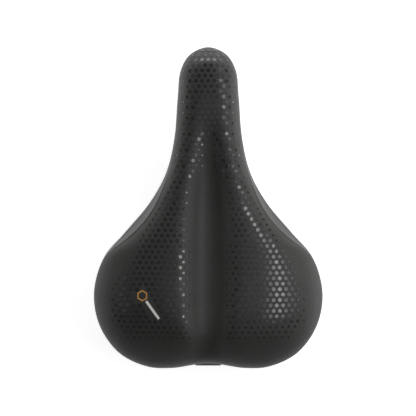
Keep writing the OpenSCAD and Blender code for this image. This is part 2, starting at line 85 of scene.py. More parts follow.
# The seat's shape, in millimetres, as in the CAD model. OUTLINE holds the distance from the centre
# line and the distance behind the nose tip. The next tables run along the centre line, and the
# last ones around the rim, by outline point.
OUTLINE = [
    (0, 0), (15, 6), (22.8, 19), (25.4, 42), (28.2, 76), (35.2, 104.6), (49, 129.5), (69.5, 154),
    (86.2, 174), (94.2, 203), (89.3, 230.3), (73, 252.6), (50, 263.5), (30, 264.6), (0, 260.6)]
CROWN = [(0, 52.5), (20, 57), (45, 59.5), (90, 60), (130, 62.5), (170, 68), (205, 73), (235, 74),
         (262, 70)]
CHANNEL = [(50, 0), (80, 0.3), (106, 0.7), (140, 0.95), (180, 1.05), (215, 1), (245, 0.65), (262, 0.4)]
CHANNEL_W = [(60, 8), (100, 11.5), (134, 14.7), (180, 16.3), (205, 16.3), (245, 13.6)]
BASE_CROWN = [(20, 43), (60, 43), (110, 44), (160, 48), (205, 54), (262, 54)]
SPINE = [(0, 20), (3, 46), (5, 98), (7, 142), (9, 172), (11, 192), (14, 210)]
EDGE_Z = [(0, 24), (4, 24), (6, 25), (8, 26), (9, 27), (11, 30.5), (12, 33), (14, 36)]
WIDEST_Z = [(0, 36), (4, 36), (6, 32), (7, 33), (8, 38), (9, 43), (11, 47), (14, 50)]
ROLL_Z = [(0, 36), (2, 38), (3, 40.5), (5, 45), (6, 46.5), (7, 46.5), (8, 44.5), (9, 44), (11, 47),
          (14, 50)]
DOME = [(0, 2.6), (2, 3), (4.5, 3.6), (5.5, 3.5), (6.5, 2.8), (8, 2.4), (11, 2.5), (14, 2.6)]
CUT = [(3.8, 0.4), (5, 2.2), (6, 5.8), (6.6, 6.8), (7.2, 4.6), (7.9, 0.9), (8.4, 0.4)]
FLANGE = [(0, 3), (4, 3), (6, 7), (9, 9), (14, 9)]
CHANNEL_DEPTH = 9.5
COVER_T = 1.2
FOAM_OFF = 1.5
GEL_T = 3.6

# Edges of the field of dots: station behind the nose tip, distance from the centre line.
DOTS_INNER = [(76, -30), (82, 1), (100, 3), (106, 6), (112, 12), (125, 15), (150, 15.5), (165, 14.5),
              (235, 14.5)]
DOTS_OUTER = [(0, 16), (10, 21), (22, 24), (35, 23), (60, 22), (76, 24), (87, 26),
              (99, 28.5), (115, 33), (131, 40), (143, 48), (161, 59), (178, 69), (193, 76), (213, 80),
              (225, 78), (236, 68)]

# Middle of the printed outline and the way the printed bar runs from it, on the same plan.
PRINT_X = 53
PRINT_Y = 204
PRINT_AHEAD = (-0.59, 0.807)


# ---------------------------------------------------------------- the seat's lattice


def hermite(p, q, m, n, f):
    """Cubic from p to q with end slopes m and n."""
    return ((2 * f**3 - 3 * f**2 + 1) * p + (f**3 - 2 * f**2 + f) * m
            + (3 * f**2 - 2 * f**3) * q + (f**3 - f**2) * n)


def along(table, station):
    """Smooth value of a short table at each station, flat beyond its ends."""
    x, y = np.array(table, float).T
    slope = np.zeros(len(x))
    slope[1:-1] = (y[2:] - y[:-2]) / (x[2:] - x[:-2])
    s = np.asarray(station, float)
    k = np.clip(np.searchsorted(x, s, side="right") - 1, 0, len(x) - 2)
    w = x[k + 1] - x[k]
    f = np.clip((s - x[k]) / w, 0, 1)
    return hermite(y[k], y[k + 1], slope[k] * w, slope[k + 1] * w, f)


def half_outline(steps):
    """Points of the half outline, with so many steps from one outline point to the next."""
    points = [np.array(p, float) for p in OUTLINE]
    flip = np.array([-1, 1])
    knots = [points[1] * flip] + points + [points[-2] * flip]
    line = []
    for k in range(len(points) - 1):
        p0, p1, p2, p3 = knots[k:k + 4]
        a, b, c = (math.sqrt(np.linalg.norm(q - p)) for p, q in ((p0, p1), (p1, p2), (p2, p3)))
        m = b * ((p1 - p0) / a - (p2 - p0) / (a + b) + (p2 - p1) / b)
        n = b * ((p2 - p1) / b - (p3 - p1) / (b + c) + (p3 - p2) / c)
        line += [hermite(p1, p2, m, n, j / steps) for j in range(steps)]
    line.append(points[-1])
    return np.array(line)


class Lattice:
    """Columns around the seat's outline. Every method gives one row of points, one for each column."""

    def __init__(self, steps):
        half = half_outline(steps)
        self.half = len(half) - 1
        self.n = 2 * self.half
        self.rim = np.vstack([half, half[-2:0:-1] * (-1, 1)])
        t = np.roll(self.rim, -1, 0) - np.roll(self.rim, 1, 0)
        out = np.column_stack([t[:, 1], -t[:, 0]])
        self.out = out / np.linalg.norm(out, axis=1)[:, None]
        k = np.arange(self.n)
        self.u = np.where(k <= self.half, k, self.n - k) / steps
        self.spine = np.column_stack([np.zeros(self.n), along(SPINE, self.u)])
        self.cut = along(CUT, self.u)
        self.dome = along(DOME, self.u)
        self.roll = along(ROLL_Z, self.u)
        self.widest = along(WIDEST_Z, self.u)
        self.edge_z = along(EDGE_Z, self.u)
        self.flange = along(FLANGE, self.u)

    def place(self, p, z):
        return np.column_stack([p[:, 0], p[:, 1] - OVERHANG, z])

    def inset(self, d):
        return self.rim - self.out * np.reshape(d, (-1, 1))

    def channel(self, p):
        width = along(CHANNEL_W, p[:, 1])
        return CHANNEL_DEPTH * along(CHANNEL, p[:, 1]) * np.exp(-np.abs(p[:, 0] / width) ** 2.4)

    def top(self, r, off=0.0):
        edge = self.inset(self.cut + off)
        p = self.spine + (edge - self.spine) * r
        share = r * (0.995 - 0.045 * (self.cut - 0.4) / 6.4)
        dome = np.sqrt(1 - share ** self.dome)
        z = self.roll + (along(CROWN, p[:, 1]) - self.roll) * dome
        return self.place(p, z - self.channel(p) * (1 - r ** 4) - off)

    def side(self, out_share, up_share, off=0.0):
        high = self.top(1, off)[:, 2]
        return self.place(self.inset(self.cut * out_share + off),
                          self.widest + (high - self.widest) * up_share)

    def edge(self, d, up, flange=0.0):
        return self.place(self.inset(d + flange * self.flange), self.edge_z + up)

    def base(self, r, off):
        """Row of the moulded base, from the slot to its shoulder."""
        shoulder = self.inset(4.4 + (2.2 if off > 0 else off))
        turn = np.arange(self.n) / self.n * 2 * math.pi
        slot = np.column_stack([
            7 * np.sin(turn), 151 - 39 * np.clip(1.6 * np.cos(turn), -1, 1) - 7 * np.cos(turn)])
        p = slot + (shoulder - slot) * r
        low = self.edge_z + 10
        return self.place(p, low + (along(BASE_CROWN, p[:, 1]) - low) * (1 - r ** 3) ** 0.6 - off)


def ease(n, power):
    """n shares from 0 to 1 that crowd towards 1."""
    return [1 - (1 - i / (n - 1)) ** power for i in range(n)]


def lofted(rows, lids=True):
    """Vertices in metres and faces of a closed body of rows. With lids its first and last rows are
    closed across the centre line. Without them its last row meets its first."""
    n, count = len(rows[0]), len(rows)
    points = np.vstack(rows) * MM
    k = np.arange(n)
    faces = []
    for a in range(count if not lids else count - 1):
        b = (a + 1) % count
        faces += [(a * n + i, a * n + (i + 1) % n, b * n + (i + 1) % n, b * n + i) for i in k]
    if lids:
        for a, flip in ((0, True), (count - 1, False)):
            for i in range(n // 2):
                face = [a * n + j for j in dict.fromkeys((i, i + 1, (n - i - 1) % n, (n - i) % n))]
                faces.append(tuple(reversed(face)) if flip else tuple(face))
    return points.tolist(), faces


# ---------------------------------------------------------------- pieces


def new_piece(name, points, faces, material, body, sharp=40, outward=True):
    """A mesh object in the row frame, smooth but for its sharp edges, that rides on a body."""
    mesh = bpy.data.meshes.new(name)
    mesh.from_pydata(points, [], faces)
    bm = bmesh.new()
    bm.from_mesh(mesh)
    bmesh.ops.remove_doubles(bm, verts=bm.verts, dist=1e-7)
    bmesh.ops.dissolve_degenerate(bm, edges=bm.edges, dist=1e-7)
    if outward:
        bmesh.ops.recalc_face_normals(bm, faces=bm.faces)
    bm.to_mesh(mesh)
    bm.free()
    mesh.shade_smooth()
    mesh.set_sharp_from_angle(angle=math.radians(sharp))
    mesh.materials.append(material)
    obj = bpy.data.objects.new(name, mesh)
    bpy.context.scene.collection.objects.link(obj)
    if body:
        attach(obj, body)
    return obj


def bake_nodes(name, points, values, tree, inputs, body):
    """Runs a Geometry Nodes tree on a cloud of points and keeps the result as a plain mesh piece.
    values are the points' own numbers by attribute name, inputs the tree's by socket name."""
    mesh = bpy.data.meshes.new(name + "_points")
    mesh.from_pydata(points, [], [])
    for key, column in values.items():
        layer = mesh.attributes.new(key, "FLOAT", "POINT")
        layer.data.foreach_set("value", column)
    source = bpy.data.objects.new(name + "_points", mesh)
    bpy.context.scene.collection.objects.link(source)
    modifier = source.modifiers.new(name, "NODES")
    modifier.node_group = tree
    for item in tree.interface.items_tree:
        if item.item_type == "SOCKET" and item.in_out == "INPUT" and item.name in inputs:
            modifier[item.identifier] = inputs[item.name]
    bpy.context.view_layer.update()
    evaluated = source.evaluated_get(bpy.context.evaluated_depsgraph_get())
    result = bpy.data.meshes.new_from_object(evaluated)
    if not result.polygons:
        raise RuntimeError(name + ": the nodes made nothing")
    obj = bpy.data.objects.new(name, result)
    result.name = name
    bpy.context.scene.collection.objects.link(obj)
    bpy.data.objects.remove(source)
    bpy.data.meshes.remove(mesh)
    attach(obj, body)
    return obj


def repaint(node, material):
    """Gives a CAD node's every slot one material."""
    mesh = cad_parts[node].data
    mesh.materials.clear()
    mesh.materials.append(material)


def drop_onto(tree, x, y):
    """Point and normal where a vertical line meets a surface from above, in metres."""
    hit, normal, _, _ = tree.ray_cast(Vector((x, y, 0.2)), Vector((0, 0, -1)))
    if hit is None:
        raise RuntimeError("nothing under %.3f, %.3f" % (x, y))
    return hit, normal


# ---------------------------------------------------------------- materials


def empty_material(name):
    """A material with no nodes yet, its node list and its link list."""
    material = bpy.data.materials.new(name)
    material.use_nodes = True
    material.node_tree.nodes.clear()
    return material, material.node_tree.nodes, material.node_tree.links


def shade(colour, share):
    """The colour with an alpha, darker below a share of 1 and lighter above it."""
    return (colour[0] * share, colour[1] * share, colour[2] * share, 1)


def leather_material(name, colour, grain, depth):
    """Matt moulded synthetic leather: fine pebble grain, faint tone changes, painted shade in the
    grooves between pebbles and shinier pebbles.
    """
    material, nodes, links = empty_material(name)

    colour_frame = nodes.new("NodeFrame")
    colour_frame.label = "Colour of the skin"
    grain_frame = nodes.new("NodeFrame")
    grain_frame.label = "Pebble grain"
    gloss_frame = nodes.new("NodeFrame")
    gloss_frame.label = "Gloss"

    place = nodes.new("ShaderNodeTexCoord")
    place.label = "Place on the saddle"
    place.location = (-1300, 0)

    cloud = nodes.new("ShaderNodeTexNoise")
    cloud.label = "Slow changes of tone"
    cloud.parent = colour_frame
    cloud.location = (-900, 400)
    cloud.inputs["Scale"].default_value = 22
    cloud.inputs["Detail"].default_value = 3

    tone = nodes.new("ShaderNodeValToRGB")
    tone.label = "Charcoal, dark to light"
    tone.parent = colour_frame
    tone.location = (-650, 400)
    tone.color_ramp.elements[0].position = 0.3
    tone.color_ramp.elements[0].color = shade(colour, 0.85)
    tone.color_ramp.elements[1].position = 0.7
    tone.color_ramp.elements[1].color = shade(colour, 1.12)

    # Painted shade: the colour is darkened in the grooves between the pebbles, where shade falls.
    pits = nodes.new("ShaderNodeMix")
    pits.label = "Painted shade between pebbles"
    pits.data_type = "RGBA"
    pits.blend_type = "MULTIPLY"
    pits.parent = colour_frame
    pits.location = (-350, 400)
    pits.inputs[0].default_value = 0.35

    warp = nodes.new("ShaderNodeTexNoise")
    warp.label = "Uneven pebbles"
    warp.parent = grain_frame
    warp.location = (-1050, -50)
    warp.inputs["Scale"].default_value = 0.35 / grain
    warp.inputs["Detail"].default_value = 2

    bent = nodes.new("ShaderNodeMix")
    bent.label = "Bent grain"
    bent.data_type = "VECTOR"
    bent.parent = grain_frame
    bent.location = (-850, -50)
    bent.inputs[0].default_value = 0.0012

    pebbles = nodes.new("ShaderNodeTexVoronoi")
    pebbles.label = "Pebbles"
    pebbles.feature = "DISTANCE_TO_EDGE"
    pebbles.parent = grain_frame
    pebbles.location = (-650, -50)
    pebbles.inputs["Scale"].default_value = 1 / grain

    rounded = nodes.new("ShaderNodeMapRange")
    rounded.label = "Rounded pebble"
    rounded.interpolation_type = "SMOOTHSTEP"
    rounded.parent = grain_frame
    rounded.location = (-450, -50)
    rounded.inputs["From Max"].default_value = 0.28

    fine = nodes.new("ShaderNodeTexNoise")
    fine.label = "Fine tooth"
    fine.parent = grain_frame
    fine.location = (-650, -350)
    fine.inputs["Scale"].default_value = 4 / grain
    fine.inputs["Detail"].default_value = 2

    coarse_bump = nodes.new("ShaderNodeBump")
    coarse_bump.label = "Grain relief"
    coarse_bump.parent = grain_frame
    coarse_bump.location = (-200, -50)
    coarse_bump.inputs["Strength"].default_value = 0.35
    coarse_bump.inputs["Distance"].default_value = depth

    fine_bump = nodes.new("ShaderNodeBump")
    fine_bump.label = "Tooth relief"
    fine_bump.parent = grain_frame
    fine_bump.location = (0, -50)
    fine_bump.inputs["Strength"].default_value = 0.25
    fine_bump.inputs["Distance"].default_value = depth * 0.35

    roughness = nodes.new("ShaderNodeMapRange")
    roughness.label = "Shinier on the pebbles"
    roughness.parent = gloss_frame
    roughness.location = (-200, -450)
    roughness.inputs["To Min"].default_value = 0.6
    roughness.inputs["To Max"].default_value = 0.46

    shader = nodes.new("ShaderNodeBsdfPrincipled")
    shader.label = "Synthetic leather"
    shader.location = (250, 200)
    shader.inputs["Specular IOR Level"].default_value = 0.5

    out = nodes.new("ShaderNodeOutputMaterial")
    out.label = "Cover"
    out.location = (550, 200)

    links.new(place.outputs["Object"], cloud.inputs["Vector"])
    links.new(cloud.outputs["Fac"], tone.inputs["Fac"])
    links.new(tone.outputs["Color"], pits.inputs[6])
    links.new(place.outputs["Object"], warp.inputs["Vector"])
    links.new(place.outputs["Object"], bent.inputs[4])
    links.new(warp.outputs["Color"], bent.inputs[5])
    links.new(bent.outputs[1], pebbles.inputs["Vector"])
    links.new(pebbles.outputs["Distance"], rounded.inputs["Value"])
    links.new(rounded.outputs["Result"], pits.inputs[7])
    links.new(place.outputs["Object"], fine.inputs["Vector"])
    links.new(rounded.outputs["Result"], coarse_bump.inputs["Height"])
    links.new(fine.outputs["Fac"], fine_bump.inputs["Height"])
    links.new(coarse_bump.outputs["Normal"], fine_bump.inputs["Normal"])
    links.new(rounded.outputs["Result"], roughness.inputs["Value"])
    links.new(pits.outputs[2], shader.inputs["Base Color"])
    links.new(roughness.outputs["Result"], shader.inputs["Roughness"])
    links.new(fine_bump.outputs["Normal"], shader.inputs["Normal"])
    links.new(shader.outputs["BSDF"], out.inputs["Surface"])
    return material


def ink_material(name, colour, rough, coat):
    """Printed ink or gel dots: a smooth coloured film with a little unevenness."""
    material, nodes, links = empty_material(name)

    film_frame = nodes.new("NodeFrame")
    film_frame.label = "Film"

    place = nodes.new("ShaderNodeTexCoord")
    place.label = "Place on the saddle"
    place.location = (-900, 0)

    mottle = nodes.new("ShaderNodeTexNoise")
    mottle.label = "Uneven film"
    mottle.parent = film_frame
    mottle.location = (-650, 100)
    mottle.inputs["Scale"].default_value = 420
    mottle.inputs["Detail"].default_value = 3

    tone = nodes.new("ShaderNodeValToRGB")
    tone.label = "Thin to thick film"
    tone.parent = film_frame
    tone.location = (-400, 200)
    tone.color_ramp.elements[0].color = shade(colour, 0.88)
    tone.color_ramp.elements[1].color = shade(colour, 1)

    gloss = nodes.new("ShaderNodeMapRange")
    gloss.label = "Gloss of the film"
    gloss.parent = film_frame
    gloss.location = (-400, -60)
    gloss.inputs["To Min"].default_value = rough * 0.85
    gloss.inputs["To Max"].default_value = rough * 1.15

    relief = nodes.new("ShaderNodeBump")
    relief.label = "Slight waves"
    relief.parent = film_frame
    relief.location = (-400, -320)
    relief.inputs["Strength"].default_value = 0.06
    relief.inputs["Distance"].default_value = 0.0002

    shader = nodes.new("ShaderNodeBsdfPrincipled")
    shader.label = "Film"
    shader.location = (-50, 100)
    shader.inputs["Coat Weight"].default_value = coat
    shader.inputs["Coat Roughness"].default_value = rough * 0.6

    out = nodes.new("ShaderNodeOutputMaterial")
    out.label = name
    out.location = (250, 100)

    links.new(place.outputs["Object"], mottle.inputs["Vector"])
    links.new(mottle.outputs["Fac"], tone.inputs["Fac"])
    links.new(mottle.outputs["Fac"], gloss.inputs["Value"])
    links.new(mottle.outputs["Fac"], relief.inputs["Height"])
    links.new(tone.outputs["Color"], shader.inputs["Base Color"])
    links.new(gloss.outputs["Result"], shader.inputs["Roughness"])
    links.new(relief.outputs["Normal"], shader.inputs["Normal"])
    links.new(shader.outputs["BSDF"], out.inputs["Surface"])
    return material


def plastic_material(name, colour, rough, spark):
    """Moulded plastic or rubber: spark-eroded texture, faint flow marks and dulled patches."""
    material, nodes, links = empty_material(name)

    colour_frame = nodes.new("NodeFrame")
    colour_frame.label = "Moulded colour"
    texture_frame = nodes.new("NodeFrame")
    texture_frame.label = "Mould texture"

    place = nodes.new("ShaderNodeTexCoord")
    place.label = "Place on the saddle"
    place.location = (-1100, 0)

    flow = nodes.new("ShaderNodeTexNoise")
    flow.label = "Flow marks"
    flow.parent = colour_frame
    flow.location = (-850, 250)
    flow.inputs["Scale"].default_value = 35
    flow.inputs["Detail"].default_value = 4
    flow.inputs["Distortion"].default_value = 0.8

    tone = nodes.new("ShaderNodeValToRGB")
    tone.label = "Colour, dull to fresh"
    tone.parent = colour_frame
    tone.location = (-600, 250)
    tone.color_ramp.elements[0].position = 0.3
    tone.color_ramp.elements[0].color = shade(colour, 0.8)
    tone.color_ramp.elements[1].position = 0.75
    tone.color_ramp.elements[1].color = (
        colour[0] * 1.15 + 0.002, colour[1] * 1.15 + 0.002, colour[2] * 1.15 + 0.002, 1)

    gloss = nodes.new("ShaderNodeMapRange")
    gloss.label = "Dulled patches"
    gloss.parent = colour_frame
    gloss.location = (-600, 0)
    gloss.inputs["To Min"].default_value = rough - 0.07
    gloss.inputs["To Max"].default_value = rough + 0.07

    pits = nodes.new("ShaderNodeTexNoise")
    pits.label = "Spark-eroded mould"
    pits.parent = texture_frame
    pits.location = (-850, -250)
    pits.inputs["Scale"].default_value = 1 / spark
    pits.inputs["Detail"].default_value = 3
    pits.inputs["Roughness"].default_value = 0.65

    relief = nodes.new("ShaderNodeBump")
    relief.label = "Texture relief"
    relief.parent = texture_frame
    relief.location = (-600, -250)
    relief.inputs["Strength"].default_value = 0.3
    relief.inputs["Distance"].default_value = spark * 0.25

    shader = nodes.new("ShaderNodeBsdfPrincipled")
    shader.label = "Moulded plastic"
    shader.location = (-250, 100)
    shader.inputs["Specular IOR Level"].default_value = 0.45

    out = nodes.new("ShaderNodeOutputMaterial")
    out.label = name
    out.location = (50, 100)

    links.new(place.outputs["Object"], flow.inputs["Vector"])
    links.new(flow.outputs["Fac"], tone.inputs["Fac"])
    links.new(flow.outputs["Fac"], gloss.inputs["Value"])
    links.new(place.outputs["Object"], pits.inputs["Vector"])
    links.new(pits.outputs["Fac"], relief.inputs["Height"])
    links.new(tone.outputs["Color"], shader.inputs["Base Color"])
    links.new(gloss.outputs["Result"], shader.inputs["Roughness"])
    links.new(relief.outputs["Normal"], shader.inputs["Normal"])
    links.new(shader.outputs["BSDF"], out.inputs["Surface"])
    return material


def steel_material(name, colour, rough, stretch):
    """Bare or plated steel: fine drawing lines, dull stains and small scratches."""
    material, nodes, links = empty_material(name)

    line_frame = nodes.new("NodeFrame")
    line_frame.label = "Drawing lines"
    stain_frame = nodes.new("NodeFrame")
    stain_frame.label = "Stains"

    place = nodes.new("ShaderNodeTexCoord")
    place.label = "Place on the saddle"
    place.location = (-1300, 0)

    drawn = nodes.new("ShaderNodeMapping")
    drawn.label = "Stretched along the wire"
    drawn.parent = line_frame
    drawn.location = (-1100, -100)
    drawn.inputs["Scale"].default_value = (1, stretch, 1)

    lines = nodes.new("ShaderNodeTexNoise")
    lines.label = "Drawing lines"
    lines.parent = line_frame
    lines.location = (-900, -100)
    lines.inputs["Scale"].default_value = 1600
    lines.inputs["Detail"].default_value = 3

    relief = nodes.new("ShaderNodeBump")
    relief.label = "Line relief"
    relief.parent = line_frame
    relief.location = (-600, -250)
    relief.inputs["Strength"].default_value = 0.12
    relief.inputs["Distance"].default_value = 0.0001

    stains = nodes.new("ShaderNodeTexNoise")
    stains.label = "Dull stains"
    stains.parent = stain_frame
    stains.location = (-900, 250)
    stains.inputs["Scale"].default_value = 60
    stains.inputs["Detail"].default_value = 5

    tone = nodes.new("ShaderNodeValToRGB")
    tone.label = "Stained to clean"
    tone.parent = stain_frame
    tone.location = (-650, 350)
    tone.color_ramp.elements[0].position = 0.28
    tone.color_ramp.elements[0].color = (colour[0] * 0.8, colour[1] * 0.79, colour[2] * 0.77, 1)
    tone.color_ramp.elements[1].position = 0.6
    tone.color_ramp.elements[1].color = shade(colour, 1)

    gloss = nodes.new("ShaderNodeMapRange")
    gloss.label = "Duller where stained"
    gloss.parent = stain_frame
    gloss.location = (-650, 80)
    gloss.inputs["To Min"].default_value = rough + 0.12
    gloss.inputs["To Max"].default_value = rough - 0.06

    shader = nodes.new("ShaderNodeBsdfPrincipled")
    shader.label = "Steel"
    shader.location = (-300, 100)
    shader.inputs["Metallic"].default_value = 1

    out = nodes.new("ShaderNodeOutputMaterial")
    out.label = name
    out.location = (0, 100)

    links.new(place.outputs["Object"], drawn.inputs["Vector"])
    links.new(drawn.outputs["Vector"], lines.inputs["Vector"])
    links.new(lines.outputs["Fac"], relief.inputs["Height"])
    links.new(place.outputs["Object"], stains.inputs["Vector"])
    links.new(stains.outputs["Fac"], tone.inputs["Fac"])
    links.new(stains.outputs["Fac"], gloss.inputs["Value"])
    links.new(tone.outputs["Color"], shader.inputs["Base Color"])
    links.new(gloss.outputs["Result"], shader.inputs["Roughness"])
    links.new(relief.outputs["Normal"], shader.inputs["Normal"])
    links.new(shader.outputs["BSDF"], out.inputs["Surface"])
    return material


def powder_material(name, colour):
    """Black powder coat: orange-peel waves, small pits and a satin gloss."""
    material, nodes, links = empty_material(name)

    peel_frame = nodes.new("NodeFrame")
    peel_frame.label = "Orange peel"

    place = nodes.new("ShaderNodeTexCoord")
    place.label = "Place on the saddle"
    place.location = (-1000, 0)

    peel = nodes.new("ShaderNodeTexVoronoi")
    peel.label = "Waves of the coat"
    peel.feature = "SMOOTH_F1"
    peel.parent = peel_frame
    peel.location = (-750, -150)
    peel.inputs["Scale"].default_value = 900

    relief = nodes.new("ShaderNodeBump")
    relief.label = "Wave relief"
    relief.parent = peel_frame
    relief.location = (-500, -150)
    relief.inputs["Strength"].default_value = 0.25
    relief.inputs["Distance"].default_value = 0.00015

    dust = nodes.new("ShaderNodeTexNoise")
    dust.label = "Handling marks"
    dust.location = (-750, 200)
    dust.inputs["Scale"].default_value = 90
    dust.inputs["Detail"].default_value = 5

    tone = nodes.new("ShaderNodeValToRGB")
    tone.label = "Black to dusty"
    tone.location = (-500, 250)
    tone.color_ramp.elements[0].position = 0.4
    tone.color_ramp.elements[0].color = shade(colour, 1)
    tone.color_ramp.elements[1].position = 0.85
    tone.color_ramp.elements[1].color = shade(colour, 1.6)

    shader = nodes.new("ShaderNodeBsdfPrincipled")
    shader.label = "Powder coat"
    shader.location = (-150, 100)
    shader.inputs["Roughness"].default_value = 0.38
    shader.inputs["Coat Weight"].default_value = 0.2
    shader.inputs["Coat Roughness"].default_value = 0.3

    out = nodes.new("ShaderNodeOutputMaterial")
    out.label = name
    out.location = (150, 100)

    links.new(place.outputs["Object"], peel.inputs["Vector"])
    links.new(peel.outputs["Distance"], relief.inputs["Height"])
    links.new(place.outputs["Object"], dust.inputs["Vector"])
    links.new(dust.outputs["Fac"], tone.inputs["Fac"])
    links.new(tone.outputs["Color"], shader.inputs["Base Color"])
    links.new(relief.outputs["Normal"], shader.inputs["Normal"])
    links.new(shader.outputs["BSDF"], out.inputs["Surface"])
    return material


def foam_material(name, colour, cell, through):
    """Open-cell foam or clear gel: round cells with painted shade in their hollows, a little light
    passing through.
    """
    material, nodes, links = empty_material(name)

    cell_frame = nodes.new("NodeFrame")
    cell_frame.label = "Cells"

    place = nodes.new("ShaderNodeTexCoord")
    place.label = "Place on the saddle"
    place.location = (-1000, 0)

    cells = nodes.new("ShaderNodeTexVoronoi")
    cells.label = "Cells"
    cells.parent = cell_frame
    cells.location = (-750, 0)
    cells.inputs["Scale"].default_value = 1 / cell

    # Painted shade: the colour is darkened in the hollows of the cells.
    hollow_shade = nodes.new("ShaderNodeValToRGB")
    hollow_shade.label = "Painted shade in the hollows"
    hollow_shade.parent = cell_frame
    hollow_shade.location = (-500, 150)
    hollow_shade.color_ramp.elements[0].position = 0.05
    hollow_shade.color_ramp.elements[0].color = (colour[0] * 0.45, colour[1] * 0.42, colour[2] * 0.38, 1)
    hollow_shade.color_ramp.elements[1].position = 0.4
    hollow_shade.color_ramp.elements[1].color = shade(colour, 1)

    relief = nodes.new("ShaderNodeBump")
    relief.label = "Cell relief"
    relief.parent = cell_frame
    relief.location = (-500, -150)
    relief.inputs["Strength"].default_value = 0.6
    relief.inputs["Distance"].default_value = cell * 0.4

    shader = nodes.new("ShaderNodeBsdfPrincipled")
    shader.label = "Soft filling"
    shader.location = (-150, 100)
    shader.inputs["Roughness"].default_value = 0.85 - 0.5 * through
    shader.inputs["Subsurface Weight"].default_value = 0.15 + 0.5 * through
    shader.inputs["Subsurface Scale"].default_value = 0.002

    out = nodes.new("ShaderNodeOutputMaterial")
    out.label = name
    out.location = (150, 100)

    links.new(place.outputs["Object"], cells.inputs["Vector"])
    links.new(cells.outputs["Distance"], hollow_shade.inputs["Fac"])
    links.new(cells.outputs["Distance"], relief.inputs["Height"])
    links.new(hollow_shade.outputs["Color"], shader.inputs["Base Color"])
    links.new(relief.outputs["Normal"], shader.inputs["Normal"])
    links.new(shader.outputs["BSDF"], out.inputs["Surface"])
    return material


def floor_material(name, colour, glow):
    """Seamless pale studio paper with a light box under it."""
    material, nodes, links = empty_material(name)

    place = nodes.new("ShaderNodeTexCoord")
    place.label = "Place on the floor"
    place.location = (-800, 0)

    fibre = nodes.new("ShaderNodeTexNoise")
    fibre.label = "Paper tooth"
    fibre.location = (-600, 0)
    fibre.inputs["Scale"].default_value = 300

    relief = nodes.new("ShaderNodeBump")
    relief.label = "Tooth relief"
    relief.location = (-350, -100)
    relief.inputs["Strength"].default_value = 0.05
    relief.inputs["Distance"].default_value = 0.0002

    shader = nodes.new("ShaderNodeBsdfPrincipled")
    shader.label = "Paper"
    shader.location = (-100, 100)
    shader.inputs["Base Color"].default_value = (*colour, 1)
    shader.inputs["Roughness"].default_value = 0.9
    shader.inputs["Specular IOR Level"].default_value = 0.1
    shader.inputs["Emission Color"].default_value = (1, 1, 1, 1)
    shader.inputs["Emission Strength"].default_value = glow

    out = nodes.new("ShaderNodeOutputMaterial")
    out.label = name
    out.location = (200, 100)

    links.new(place.outputs["Object"], fibre.inputs["Vector"])
    links.new(fibre.outputs["Fac"], relief.inputs["Height"])
    links.new(relief.outputs["Normal"], shader.inputs["Normal"])
    links.new(shader.outputs["BSDF"], out.inputs["Surface"])
    return material


# ---------------------------------------------------------------- node trees for repeated details


